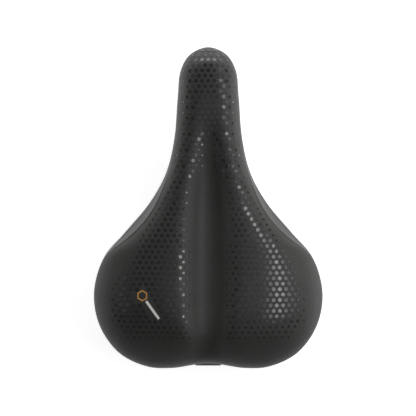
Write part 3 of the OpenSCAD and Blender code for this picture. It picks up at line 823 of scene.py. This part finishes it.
def dot_tree(material):
    """Drops points onto a surface and sets a low six-sided dot on each, square to the surface."""
    tree = bpy.data.node_groups.new("Grip dots", "GeometryNodeTree")
    sockets = tree.interface
    sockets.new_socket("Points", in_out="INPUT", socket_type="NodeSocketGeometry")
    sockets.new_socket("Surface", in_out="INPUT", socket_type="NodeSocketObject")
    sockets.new_socket("Dot height", in_out="INPUT", socket_type="NodeSocketFloat")
    sockets.new_socket("Top share", in_out="INPUT", socket_type="NodeSocketFloat")
    sockets.new_socket("Dots", in_out="OUTPUT", socket_type="NodeSocketGeometry")
    nodes, links = tree.nodes, tree.links

    given = nodes.new("NodeGroupInput")
    given.label = "Sizes"
    skin = nodes.new("GeometryNodeObjectInfo")
    skin.label = "Skin that carries the dots"
    drop = nodes.new("GeometryNodeRaycast")
    drop.label = "Drop onto the skin"
    drop.inputs["Ray Direction"].default_value = (0, 0, -1)
    drop.inputs["Ray Length"].default_value = 1
    upright = nodes.new("GeometryNodeStoreNamedAttribute")
    upright.label = "Keep the skin's direction"
    upright.data_type = "FLOAT_VECTOR"
    upright.inputs["Name"].default_value = "up"
    landed = nodes.new("GeometryNodeSetPosition")
    landed.label = "On the skin"
    kept = nodes.new("GeometryNodeInputNamedAttribute")
    kept.label = "Direction of the skin"
    kept.data_type = "FLOAT_VECTOR"
    kept.inputs["Name"].default_value = "up"
    square = nodes.new("FunctionNodeAlignRotationToVector")
    square.label = "Square to the skin"
    square.axis = "Z"
    top = nodes.new("ShaderNodeMath")
    top.label = "Radius of the flat top"
    top.operation = "MULTIPLY"
    top.inputs[1].default_value = 0.5
    dot = nodes.new("GeometryNodeMeshCone")
    dot.label = "One dot, 1 across"
    dot.inputs["Vertices"].default_value = 6
    dot.inputs["Radius Bottom"].default_value = 0.5
    crisp = nodes.new("GeometryNodeSetShadeSmooth")
    crisp.label = "Crisp flat faces"
    crisp.inputs["Shade Smooth"].default_value = False
    turned = nodes.new("GeometryNodeTransform")
    turned.label = "Corner to the nose"
    turned.inputs["Rotation"].default_value = (0, 0, math.radians(30))
    size = nodes.new("GeometryNodeInputNamedAttribute")
    size.label = "Width of each dot"
    size.data_type = "FLOAT"
    size.inputs["Name"].default_value = "width"
    scale = nodes.new("ShaderNodeCombineXYZ")
    scale.label = "Width only"
    scale.inputs["Z"].default_value = 1
    stand = nodes.new("GeometryNodeInstanceOnPoints")
    stand.label = "A dot on each point"
    real = nodes.new("GeometryNodeRealizeInstances")
    real.label = "Real mesh"
    paint = nodes.new("GeometryNodeSetMaterial")
    paint.label = "Gloss"
    paint.inputs["Material"].default_value = material
    out = nodes.new("NodeGroupOutput")
    out.label = "Dots"
    for i, node in enumerate((given, skin, drop, upright, landed, kept, square, top, dot, crisp,
                              turned, size, scale, stand, real, paint, out)):
        node.location = (i * 190, (i % 3) * -180)

    links.new(given.outputs["Surface"], skin.inputs["Object"])
    links.new(skin.outputs["Geometry"], drop.inputs["Target Geometry"])
    links.new(given.outputs["Points"], upright.inputs["Geometry"])
    links.new(drop.outputs["Hit Normal"], upright.inputs["Value"])
    links.new(upright.outputs["Geometry"], landed.inputs["Geometry"])
    links.new(drop.outputs["Hit Position"], landed.inputs["Position"])
    links.new(kept.outputs["Attribute"], square.inputs["Vector"])
    links.new(given.outputs["Top share"], top.inputs[0])
    links.new(top.outputs["Value"], dot.inputs["Radius Top"])
    links.new(given.outputs["Dot height"], dot.inputs["Depth"])
    links.new(dot.outputs["Mesh"], crisp.inputs["Geometry"])
    links.new(crisp.outputs["Geometry"], turned.inputs["Geometry"])
    links.new(size.outputs["Attribute"], scale.inputs["X"])
    links.new(size.outputs["Attribute"], scale.inputs["Y"])
    links.new(landed.outputs["Geometry"], stand.inputs["Points"])
    links.new(turned.outputs["Geometry"], stand.inputs["Instance"])
    links.new(square.outputs["Rotation"], stand.inputs["Rotation"])
    links.new(scale.outputs["Vector"], stand.inputs["Scale"])
    links.new(stand.outputs["Instances"], real.inputs["Geometry"])
    links.new(real.outputs["Geometry"], paint.inputs["Geometry"])
    links.new(paint.outputs["Geometry"], out.inputs["Dots"])
    return tree


def staple_tree(material):
    """Sets a bent-wire staple on each point, turned by the point's heading."""
    tree = bpy.data.node_groups.new("Staples", "GeometryNodeTree")
    sockets = tree.interface
    sockets.new_socket("Points", in_out="INPUT", socket_type="NodeSocketGeometry")
    sockets.new_socket("Crown width", in_out="INPUT", socket_type="NodeSocketFloat")
    sockets.new_socket("Leg length", in_out="INPUT", socket_type="NodeSocketFloat")
    sockets.new_socket("Wire radius", in_out="INPUT", socket_type="NodeSocketFloat")
    sockets.new_socket("Staples", in_out="OUTPUT", socket_type="NodeSocketGeometry")
    nodes, links = tree.nodes, tree.links

    given = nodes.new("NodeGroupInput")
    given.label = "Sizes"
    blank = nodes.new("GeometryNodeCurvePrimitiveQuadrilateral")
    blank.label = "Crown and legs"
    lowered = nodes.new("GeometryNodeTransform")
    lowered.label = "Legs up into the fold"
    lowered.inputs["Rotation"].default_value = (math.radians(90), 0, 0)
    bent = nodes.new("GeometryNodeFilletCurve")
    bent.label = "Bent corners"
    bent.mode = "POLY"
    bent.inputs["Count"].default_value = 3
    wire = nodes.new("GeometryNodeCurvePrimitiveCircle")
    wire.label = "Wire"
    wire.inputs["Resolution"].default_value = 8
    solid = nodes.new("GeometryNodeCurveToMesh")
    solid.label = "Round wire"
    heading = nodes.new("GeometryNodeInputNamedAttribute")
    heading.label = "Heading of each staple"
    heading.data_type = "FLOAT"
    heading.inputs["Name"].default_value = "heading"
    turn = nodes.new("ShaderNodeCombineXYZ")
    turn.label = "Turn about the vertical"
    stand = nodes.new("GeometryNodeInstanceOnPoints")
    stand.label = "A staple on each point"
    real = nodes.new("GeometryNodeRealizeInstances")
    real.label = "Real mesh"
    paint = nodes.new("GeometryNodeSetMaterial")
    paint.label = "Galvanised"
    paint.inputs["Material"].default_value = material
    out = nodes.new("NodeGroupOutput")
    out.label = "Staples"
    for i, node in enumerate((given, blank, lowered, bent, wire, solid, heading, turn, stand,
                              real, paint, out)):
        node.location = (i * 190, (i % 3) * -180)

    links.new(given.outputs["Crown width"], blank.inputs["Width"])
    links.new(given.outputs["Leg length"], blank.inputs["Height"])
    links.new(blank.outputs["Curve"], lowered.inputs["Geometry"])
    links.new(lowered.outputs["Geometry"], bent.inputs["Curve"])
    links.new(given.outputs["Wire radius"], bent.inputs["Radius"])
    links.new(given.outputs["Wire radius"], wire.inputs["Radius"])
    links.new(bent.outputs["Curve"], solid.inputs["Curve"])
    links.new(wire.outputs["Curve"], solid.inputs["Profile Curve"])
    links.new(heading.outputs["Attribute"], turn.inputs["Z"])
    links.new(given.outputs["Points"], stand.inputs["Points"])
    links.new(solid.outputs["Mesh"], stand.inputs["Instance"])
    links.new(turn.outputs["Vector"], stand.inputs["Rotation"])
    links.new(stand.outputs["Instances"], real.inputs["Geometry"])
    links.new(real.outputs["Geometry"], paint.inputs["Geometry"])
    links.new(paint.outputs["Geometry"], out.inputs["Staples"])
    return tree


# ---------------------------------------------------------------- settings


class SaddleCoverSettings(bpy.types.PropertyGroup):
    """Cover, dots and print."""

    colour: FloatVectorProperty(
        name="Cover colour", description="Colour of the synthetic leather", subtype="COLOR",
        size=3, min=0, max=1, default=(0.0275, 0.0305, 0.0262))
    grain: FloatProperty(
        name="Grain size", description="Width of one pebble of the grain", unit="LENGTH",
        min=0.0003, max=0.003, default=0.0009)
    grain_depth: FloatProperty(
        name="Grain depth", description="Height of the grain's relief", unit="LENGTH",
        min=0, max=0.0005, default=0.0001)
    pitch: FloatProperty(
        name="Dot spacing", description="Distance between neighbouring dots", unit="LENGTH",
        min=0.003, max=0.01, default=0.005)
    dot: FloatProperty(
        name="Dot width", description="Width of the largest dots across their corners", unit="LENGTH",
        min=0.001, max=0.006, default=0.0039)
    dot_height: FloatProperty(
        name="Dot height", description="How far a dot stands above the skin", unit="LENGTH",
        min=0.0001, max=0.001, default=0.0003)
    accent: FloatVectorProperty(
        name="Accent colour", description="Colour of the printed outline", subtype="COLOR",
        size=3, min=0, max=1, default=(0.55, 0.27, 0.08))
    bar: FloatVectorProperty(
        name="Bar colour", description="Colour of the printed bar", subtype="COLOR",
        size=3, min=0, max=1, default=(0.8, 0.8, 0.78))


class SaddleUndersideSettings(bpy.types.PropertyGroup):
    """Padding, base, metal and rubber."""

    foam: FloatVectorProperty(
        name="Foam colour", description="Colour of the foam pad", subtype="COLOR",
        size=3, min=0, max=1, default=(0.55, 0.47, 0.28))
    base: FloatVectorProperty(
        name="Base colour", description="Colour of the moulded base", subtype="COLOR",
        size=3, min=0, max=1, default=(0.016, 0.016, 0.017))
    steel: FloatVectorProperty(
        name="Rail colour", description="Colour of the rail wire", subtype="COLOR",
        size=3, min=0, max=1, default=(0.42, 0.42, 0.43))
    cap: FloatVectorProperty(
        name="Cap colour", description="Colour of the cap at the tail", subtype="COLOR",
        size=3, min=0, max=1, default=(0.22, 0.22, 0.22))
    staple: FloatProperty(
        name="Staple crown", description="Width of a staple's crown", unit="LENGTH",
        min=0.005, max=0.012, default=0.009)
    staple_every: IntProperty(
        name="Staple spacing", description="Outline steps from one staple to the next",
        min=4, max=16, default=5)


class SaddleStudioSettings(bpy.types.PropertyGroup):
    """Floor, lights and camera."""

    key: FloatProperty(
        name="Key light", description="Strength of the strip on the right of the view", unit="POWER",
        min=0, max=200, default=6.8)
    spread: FloatProperty(
        name="Key spread", description="Strength of the wide light below the key light", unit="POWER",
        min=0, max=200, default=2.4)
    top: FloatProperty(
        name="Top light", description="Strength of the light overhead", unit="POWER",
        min=0, max=200, default=1.0)
    side: FloatProperty(
        name="Side light", description="Strength of the low light on the right of the view",
        unit="POWER", min=0, max=200, default=7)
    far_side: FloatProperty(
        name="Far side light", description="Strength of the low light on the left of the view",
        unit="POWER", min=0, max=200, default=3)
    front: FloatProperty(
        name="Front light", description="Strength of the low light beyond the nose", unit="POWER",
        min=0, max=200, default=14)
    fill: FloatProperty(
        name="Fill light", description="Strength of the light on the left of the view", unit="POWER",
        min=0, max=200, default=0.6)
    room: FloatProperty(
        name="Room light", description="Brightness of the dim room", min=0, max=2, default=0.05)
    glow: FloatProperty(
        name="Floor glow", description="Light that comes through the floor", min=0, max=2, default=0.75)
    lens: FloatProperty(
        name="Lens", description="Focal length of the camera, in millimetres", min=50, max=200,
        default=110)


# ---------------------------------------------------------------- operators


class SADDLE_OT_cover(bpy.types.Operator):
    """Builds the moulded cover with its channel, side creases and stapled fold"""

    bl_idname = "saddle.cover"
    bl_label = "Cover"

    def execute(self, context):
        settings = context.scene.saddle_cover
        grid = Lattice(10)
        crease = np.clip((grid.cut - 0.8) / 2.5, 0, 1)
        rows = [grid.top(max(r, 0.02)) for r in ease(40, 1.7) if r < 0.97]
        for r, lift in ((0.972, 0), (0.98, 0.3), (0.988, 0.75), (0.995, 1)):
            rows.append(grid.top(r) + np.outer(crease * lift * 0.85, (0, 0, 1)))
        for up, lift in ((1, 1), (0.985, 0.75), (0.96, 0.3), (0.93, 0)):
            row = grid.side(up ** 0.8, up)
            row[:, :2] += grid.out * (crease * lift * 0.4)[:, None]
            row[:, 2] += crease * lift * 0.5
            rows.append(row)
        for up in np.linspace(0.88, 0, 10):
            rows.append(grid.side(up ** 0.8, up))
        for d, up in ((0.12, 12), (0.3, 9), (0.55, 6.5), (0.85, 4.5), (1.2, 3), (1.65, 1.7),
                      (2.2, 0.75), (2.75, 0.2), (3.3, 0)):
            low = np.minimum(up, 0.8 * (grid.widest - grid.edge_z))
            rows.append(grid.edge(d, low))
        pleats = 0.16 * (1 + np.sin(np.arange(grid.n) * 2 * math.pi / 5))
        for share in (0.25, 0.5, 0.75, 1):
            rows.append(grid.edge(3.6, pleats * share, share))
        rows.append(grid.edge(3.6, COVER_T, 1))
        rows.append(grid.edge(4.0, COVER_T))
        for d, up in ((2.6, 2.6), (1.9, 6)):
            rows.append(grid.edge(d, up))
        for up in (0, 0.35, 0.7):
            rows.append(grid.side(up, up, COVER_T))
        for r in reversed(ease(18, 1.7)):
            rows.append(grid.top(max(r, 0.02), COVER_T))
        points, faces = lofted(rows)
        skin = leather_material("Cover leather", settings.colour, settings.grain, settings.grain_depth)
        cover = new_piece("seat_cover", points, faces, skin, SEAT, sharp=70)
        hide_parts("cover")
        return {"FINISHED"}


class SADDLE_OT_padding(bpy.types.Operator):
    """Builds the foam pad and the two gel pads that lie in its pockets"""

    bl_idname = "saddle.padding"
    bl_label = "Padding"

    def execute(self, context):
        settings = context.scene.saddle_underside
        grid = Lattice(6)

        def pocket(r):
            """Depth of the gel's pocket in each column at a share of the way to the rim."""
            around = np.clip((1.8 - np.abs(grid.u - 9.2)) / 0.7, 0, 1)
            across = np.clip((0.29 - abs(r - 0.6)) / 0.12, 0, 1)
            return GEL_T * (around * across) ** 0.5

        shares = np.linspace(0, 1, 31) ** 0.85
        rows = []
        for r in shares:
            row = grid.top(max(r, 0.02), FOAM_OFF)
            row[:, 2] -= pocket(r) * (1 + 0.12 / GEL_T)
            rows.append(row)
        for up in (0.62, 0.25, 0):
            rows.append(grid.side(up, up, FOAM_OFF))
        rows += [grid.edge(2.1, 6), grid.edge(3.1, 3.1), grid.edge(4.2, 2.6), grid.edge(4.2, 10)]
        rows += [grid.base(r, -0.2) for r in (0.95, 0.87, 0.76, 0.62, 0.46, 0.3, 0.14, 0)]
        closing = grid.base(0, -0.2)
        closing[:, 0] *= 0.3
        rows.append(closing)
        points, faces = lofted(rows)
        foam = foam_material("Open-cell foam", settings.foam, 0.0011, 0)
        pad = new_piece("foam_cushion", points, faces, foam, SEAT)
        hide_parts("foam_pad")

        gel = foam_material("Clear gel", (0.25, 0.42, 0.5), 0.006, 1)
        for side, node in ((1, "gel_pad_left"), (-1, "gel_pad_right")):
            columns = np.flatnonzero((np.abs(grid.u - 9.2) < 1.8) & (side * grid.rim[:, 0] > 0))
            inside = [r for r in np.linspace(0.32, 0.88, 19)]
            upper, lower = [], []
            for r in inside:
                top = grid.top(r, FOAM_OFF)[columns]
                deep = top.copy()
                deep[:, 2] -= np.maximum(pocket(r)[columns], 0.1)
                upper.append(top)
                lower.append(deep)
            n, m = len(columns), len(inside)
            points = np.vstack(upper + lower) * MM
            faces = []
            for r in range(m - 1):
                for k in range(n - 1):
                    a, b = r * n + k, (m + r) * n + k
                    faces.append((a, a + 1, a + n + 1, a + n))
                    faces.append((b, b + n, b + n + 1, b + 1))
            ring = ([k for k in range(n)] + [r * n + n - 1 for r in range(1, m)]
                    + [(m - 1) * n + k for k in range(n - 2, -1, -1)]
                    + [r * n for r in range(m - 2, 0, -1)])
            for a, b in zip(ring, ring[1:] + ring[:1]):
                faces.append((b, a, a + m * n, b + m * n))
            pad = new_piece("gel_cushion_" + node[8:], points.tolist(), faces, gel, SEAT)
            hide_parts(node)
        return {"FINISHED"}


class SADDLE_OT_grip_dots(bpy.types.Operator):
    """Sets the field of glossy six-sided dots on the cover"""

    bl_idname = "saddle.grip_dots"
    bl_label = "Grip dots"

    def execute(self, context):
        settings = context.scene.saddle_cover
        pitch = settings.pitch / MM
        rim = half_outline(10)[:90]
        points, widths = [], []
        for row in range(int(240 / (pitch * 0.866))):
            station = 4 + row * pitch * 0.866
            outer = float(along(DOTS_OUTER, station))
            inner = float(along(DOTS_INNER, station))
            reach = float(np.interp(station, rim[:, 1], rim[:, 0])) - 2
            for column in range(-16, 17):
                x = (column + (row % 2) / 2) * pitch
                room = min(outer - abs(x), abs(x) - inner, (240 - station) * 0.5)
                if room < 0 or abs(x) > reach or self.on_print(x, station):
                    continue
                share = min(1, 0.3 + 0.7 * room / 10)
                points.append((x * MM, (station - OVERHANG) * MM, 0.15))
                widths.append(settings.dot * share)
        gloss = ink_material("Glossy dots", (0.017, 0.018, 0.017), 0.25, 0.28)
        dots = bake_nodes(
            "grip_dots", points, {"width": widths}, dot_tree(gloss),
            {"Surface": bpy.data.objects["seat_cover"], "Dot height": settings.dot_height,
             "Top share": 0.88}, SEAT)
        return {"FINISHED"}

    def on_print(self, x, station):
        """True where the printed outline and bar leave no room for a dot."""
        ahead = (x - PRINT_X) * PRINT_AHEAD[0] + (station - PRINT_Y) * PRINT_AHEAD[1]
        aside = (x - PRINT_X) * PRINT_AHEAD[1] - (station - PRINT_Y) * PRINT_AHEAD[0]
        return -6.5 < ahead < 24 and abs(aside) < (6.5 if ahead < 4 else 3.5)


class SADDLE_OT_print(bpy.types.Operator):
    """Prints a plain six-sided outline and a plain bar on the left rear lobe"""

    bl_idname = "saddle.print"
    bl_label = "Print"

    def execute(self, context):
        settings = context.scene.saddle_cover
        cover = bpy.data.objects["seat_cover"]
        surface = BVHTree.FromPolygons(
            [v.co for v in cover.data.vertices], [p.vertices[:] for p in cover.data.polygons])
        accent = ink_material("Accent ink", settings.accent, 0.35, 0.1)
        white = ink_material("White ink", settings.bar, 0.35, 0.1)

        def film(name, outline, inner, ink):
            """A thin closed film over the skin between two loops of plan points in millimetres."""
            points, faces, n = [], [], len(outline)
            for loop in (outline, inner):
                for lift in (-0.1, 0.12):
                    for x, station in loop:
                        hit, normal = drop_onto(surface, x * MM, (station - OVERHANG) * MM)
                        points.append(tuple(hit + normal * lift * MM))
            for i in range(n):
                j = (i + 1) % n
                for a, b in ((0, 1), (1, 3), (3, 2), (2, 0)):
                    faces.append((a * n + i, a * n + j, b * n + j, b * n + i))
            return new_piece(name, points, faces, ink, SEAT)

        def six_sided(radius):
            corners = [(PRINT_X + radius * math.sin(k * math.pi / 3),
                        PRINT_Y + radius * math.cos(k * math.pi / 3)) for k in range(6)]
            return [tuple(p + (q - p) * j / 6 for p, q in zip(a, b))
                    for a, b in zip(corners, corners[1:] + corners[:1]) for j in range(6)]

        ring = film("printed_outline", six_sided(4.6), six_sided(3.4), accent)

        ahead = np.array(PRINT_AHEAD)
        across = np.array([ahead[1], -ahead[0]])
        start = np.array([PRINT_X, PRINT_Y]) + ahead * 5.4

        def bar(half_width):
            """Loop around the bar: down one side and back up the other."""
            shares = np.linspace(0, 1, 15)
            return ([start + ahead * 17.5 * f + across * half_width for f in shares]
                    + [start + ahead * 17.5 * f - across * half_width for f in shares[::-1]])

        strip = film("printed_bar", bar(1.0), bar(0.01), white)
        return {"FINISHED"}


class SADDLE_OT_staples(bpy.types.Operator):
    """Staples the cover's fold to the base"""

    bl_idname = "saddle.staples"
    bl_label = "Staples"

    def execute(self, context):
        settings = context.scene.saddle_underside
        grid = Lattice(10)
        row = grid.edge(4.2, -0.25, 0.5)
        points, headings = [], []
        for k in range(3, grid.n, settings.staple_every):
            if grid.u[k] < 13.2:
                points.append(tuple(row[k] * MM + np.array([0, 0, 0.0012])))
                headings.append(math.atan2(grid.out[k][1], grid.out[k][0]) + math.pi / 2)
        wire = steel_material("Galvanised wire", (0.55, 0.56, 0.58), 0.35, 1)
        staples = bake_nodes(
            "fold_staples", points, {"heading": headings}, staple_tree(wire),
            {"Crown width": settings.staple, "Leg length": 0.0026, "Wire radius": 0.00035}, SEAT)
        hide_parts("cover_staples")
        return {"FINISHED"}


class SADDLE_OT_underside(bpy.types.Operator):
    """Finishes the base, the rails, the rear bridge and the small hardware"""

    bl_idname = "saddle.underside"
    bl_label = "Underside"

    def execute(self, context):
        settings = context.scene.saddle_underside
        base = plastic_material("Moulded base", settings.base, 0.5, 0.0004)
        cup = plastic_material("Moulded cups", (0.03, 0.03, 0.032), 0.42, 0.0003)
        nylon = plastic_material("Nylon bush", (0.55, 0.53, 0.45), 0.4, 0.0003)
        grey = plastic_material("Grey cap", settings.cap, 0.45, 0.0003)
        rubber = plastic_material("Rubber rings", (0.018, 0.018, 0.018), 0.7, 0.0003)
        rail = steel_material("Rail steel", settings.steel, 0.3, 0.04)
        zinc = steel_material("Zinc plate", (0.55, 0.55, 0.52), 0.32, 1)
        powder = powder_material("Black powder coat", (0.016, 0.016, 0.017))
        finish = {
            base: ("base_shell", "clip_socket"),
            cup: ("spring_seat_left", "spring_seat_right", "lower_cup_left", "lower_cup_right"),
            nylon: ("pivot_bush_upper", "pivot_bush_lower"),
            grey: ("clip_cap",),
            rubber: ("rebound_ring_left", "rebound_ring_right"),
            rail: ("rail_wire",),
            zinc: ("load_plates", "suspension_bolts", "bolt_washers", "lock_nuts", "keeper_screws",
                   "clip_screws"),
            powder: ("rear_bridge", "nose_keeper")}
        for material, nodes in finish.items():
            for node in nodes:
                repaint(node, material)
        return {"FINISHED"}


class SADDLE_OT_elastomers(bpy.types.Operator):
    """Builds the two soft grooved blocks as they stand at rest; on the saddle they flatten as the tail
    of the seat goes down
    """

    bl_idname = "saddle.elastomers"
    bl_label = "Elastomer blocks"

    def execute(self, context):
        rubber = plastic_material("Elastomer", (0.022, 0.022, 0.023), 0.62, 0.0004)
        for node in ("elastomer_left", "elastomer_right"):
            low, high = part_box(node)
            centre = [(low[i] + high[i]) / 2 for i in range(3)]
            radius, height = (high[0] - low[0]) / 2, high[2] - low[2]
            profile = [(0.0042, 0)]
            for i in range(49):
                f = i / 48
                groove = sum(math.exp(-(((f - g) / 0.055) ** 2)) for g in (0.2, 0.4, 0.6, 0.8))
                end = 0.0007 * max(0, abs(f - 0.5) - 0.46) / 0.04
                profile.append((radius - 0.0019 * groove - end, f * height))
            profile.append((0.0042, height))
            n, points, faces = 64, [], []
            for r, z in profile:
                for j in range(n):
                    a = j / n * 2 * math.pi
                    points.append((centre[0] + r * math.cos(a), centre[1] + r * math.sin(a), low[2] + z))
            count = len(profile)
            for i in range(count):
                for j in range(n):
                    a, b = i * n, ((i + 1) % count) * n
                    faces.append((a + j, a + (j + 1) % n, b + (j + 1) % n, b + j))
            block = new_piece(node + "_block", points, faces, rubber, UNDER)
            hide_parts(node)
            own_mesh(block)
        return {"FINISHED"}


class SADDLE_OT_stage(bpy.types.Operator):
    """Sets the pale floor, the soft lights and the camera above the saddle"""

    bl_idname = "saddle.stage"
    bl_label = "Studio"

    def execute(self, context):
        settings = context.scene.saddle_studio
        scene = context.scene
        clearance = 0.0002      # between the bolt ends and the floor
        floor_z = CAD_BOX[0][2] - clearance
        half = 3                # half the width of the floor
        mesh = bpy.data.meshes.new("floor")
        mesh.from_pydata([(x, y, floor_z) for x, y in
                          ((-half, -half), (half, -half), (half, half), (-half, half))],
                         [], [(0, 1, 2, 3)])
        mesh.materials.append(floor_material("Studio paper", (0.85, 0.85, 0.85), settings.glow))
        floor = bpy.data.objects.new("floor", mesh)
        scene.collection.objects.link(floor)

        aim_z = 0.06            # the lights point at the middle of the seat's top
        aim_front = -0.35       # and no further forward than this
        for name, place, width, height, power in (
                ("key_strip", (-0.71, -0.34, 1.33), 1.45, 0.13, settings.key),
                ("key_spread", (-1.0, -0.2, 1.05), 1.2, 0.5, settings.spread),
                ("top_light", (0, 0, 1.6), 0.8, 0.8, settings.top),
                ("side_light", (-1.5, 0, 0.18), 1.2, 0.25, settings.side),
                ("far_side_light", (1.5, 0, 0.18), 1.2, 0.25, settings.far_side),
                ("front_light", (0, -1.4, 0.5), 2.0, 0.6, settings.front),
                ("fill_light", (0.98, -0.3, 1.15), 1.2, 0.22, settings.fill)):
            light = bpy.data.lights.new(name, "AREA")
            light.shape = "RECTANGLE"
            light.size = width
            light.size_y = height
            light.energy = power
            lamp = bpy.data.objects.new(name, light)
            lamp.location = place
            aim = Vector((0, max(place[1], aim_front), aim_z)) - lamp.location
            lamp.rotation_euler = aim.to_track_quat("-Z", "Y").to_euler()
            scene.collection.objects.link(lamp)

        world = bpy.data.worlds.new("Studio room")
        world.use_nodes = True
        nodes, links = world.node_tree.nodes, world.node_tree.links
        nodes.clear()
        ray = nodes.new("ShaderNodeTexCoord")
        ray.label = "Direction in the room"
        ray.location = (-900, 100)
        height = nodes.new("ShaderNodeSeparateXYZ")
        height.label = "Height above the horizon"
        height.location = (-700, 100)
        level = nodes.new("ShaderNodeMapRange")
        level.label = "White walls, dim ceiling"
        level.interpolation_type = "SMOOTHSTEP"
        level.location = (-500, 100)
        level.inputs["From Min"].default_value = 0.12
        level.inputs["From Max"].default_value = 0.22
        level.inputs["To Min"].default_value = 1.2
        level.inputs["To Max"].default_value = settings.room
        room = nodes.new("ShaderNodeBackground")
        room.label = "Room"
        room.location = (-250, 100)
        out = nodes.new("ShaderNodeOutputWorld")
        out.label = "Room"
        out.location = (0, 100)
        links.new(ray.outputs["Generated"], height.inputs["Vector"])
        links.new(height.outputs["Z"], level.inputs["Value"])
        links.new(level.outputs["Result"], room.inputs["Strength"])
        links.new(room.outputs["Background"], out.inputs["Surface"])
        scene.world = world

        camera = bpy.data.cameras.new("camera")
        camera.lens = settings.lens
        camera.sensor_width = 36
        view = bpy.data.objects.new("camera", camera)
        span = 0.3422           # width of the view at the height of the seat
        distance = span * settings.lens / 36
        view.location = (0.0002, -0.0125, 0.045 + distance)
        view.rotation_euler = (0, 0, math.pi)
        camera.clip_end = 20
        scene.collection.objects.link(view)
        scene.camera = view
        scene.view_settings.view_transform = "Standard"
        return {"FINISHED"}


class SADDLE_PT_panel(bpy.types.Panel):
    """Saddle pieces and their settings"""

    bl_idname = "SADDLE_PT_panel"
    bl_label = "Bicycle saddle"
    bl_space_type = "VIEW_3D"
    bl_region_type = "UI"
    bl_category = "Saddle"

    def draw(self, context):
        layout = self.layout
        for heading, settings, operators in (
                ("Cover", context.scene.saddle_cover, ("cover", "grip_dots", "print")),
                ("Underside", context.scene.saddle_underside,
                 ("padding", "staples", "underside", "elastomers")),
                ("Studio", context.scene.saddle_studio, ("stage",))):
            box = layout.box()
            box.label(text=heading)
            for name in settings.__annotations__:
                box.prop(settings, name)
            for name in operators:
                box.operator("saddle." + name)


CLASSES = (
    SaddleCoverSettings, SaddleUndersideSettings, SaddleStudioSettings, SADDLE_OT_cover,
    SADDLE_OT_padding, SADDLE_OT_grip_dots, SADDLE_OT_print, SADDLE_OT_staples,
    SADDLE_OT_underside, SADDLE_OT_elastomers, SADDLE_OT_stage, SADDLE_PT_panel)


def register():
    for item in CLASSES:
        bpy.utils.register_class(item)
    bpy.types.Scene.saddle_cover = PointerProperty(type=SaddleCoverSettings)
    bpy.types.Scene.saddle_underside = PointerProperty(type=SaddleUndersideSettings)
    bpy.types.Scene.saddle_studio = PointerProperty(type=SaddleStudioSettings)


def unregister():
    del bpy.types.Scene.saddle_studio
    del bpy.types.Scene.saddle_underside
    del bpy.types.Scene.saddle_cover
    for item in reversed(CLASSES):
        bpy.utils.unregister_class(item)


def main():
    """Builds the saddle piece by piece, then the studio."""
    register()
    bpy.ops.saddle.cover()
    bpy.ops.saddle.padding()
    bpy.ops.saddle.grip_dots()
    bpy.ops.saddle.print()
    bpy.ops.saddle.staples()
    bpy.ops.saddle.underside()
    bpy.ops.saddle.elastomers()
    bpy.ops.saddle.stage()


if __name__ == "__main__":
    main()
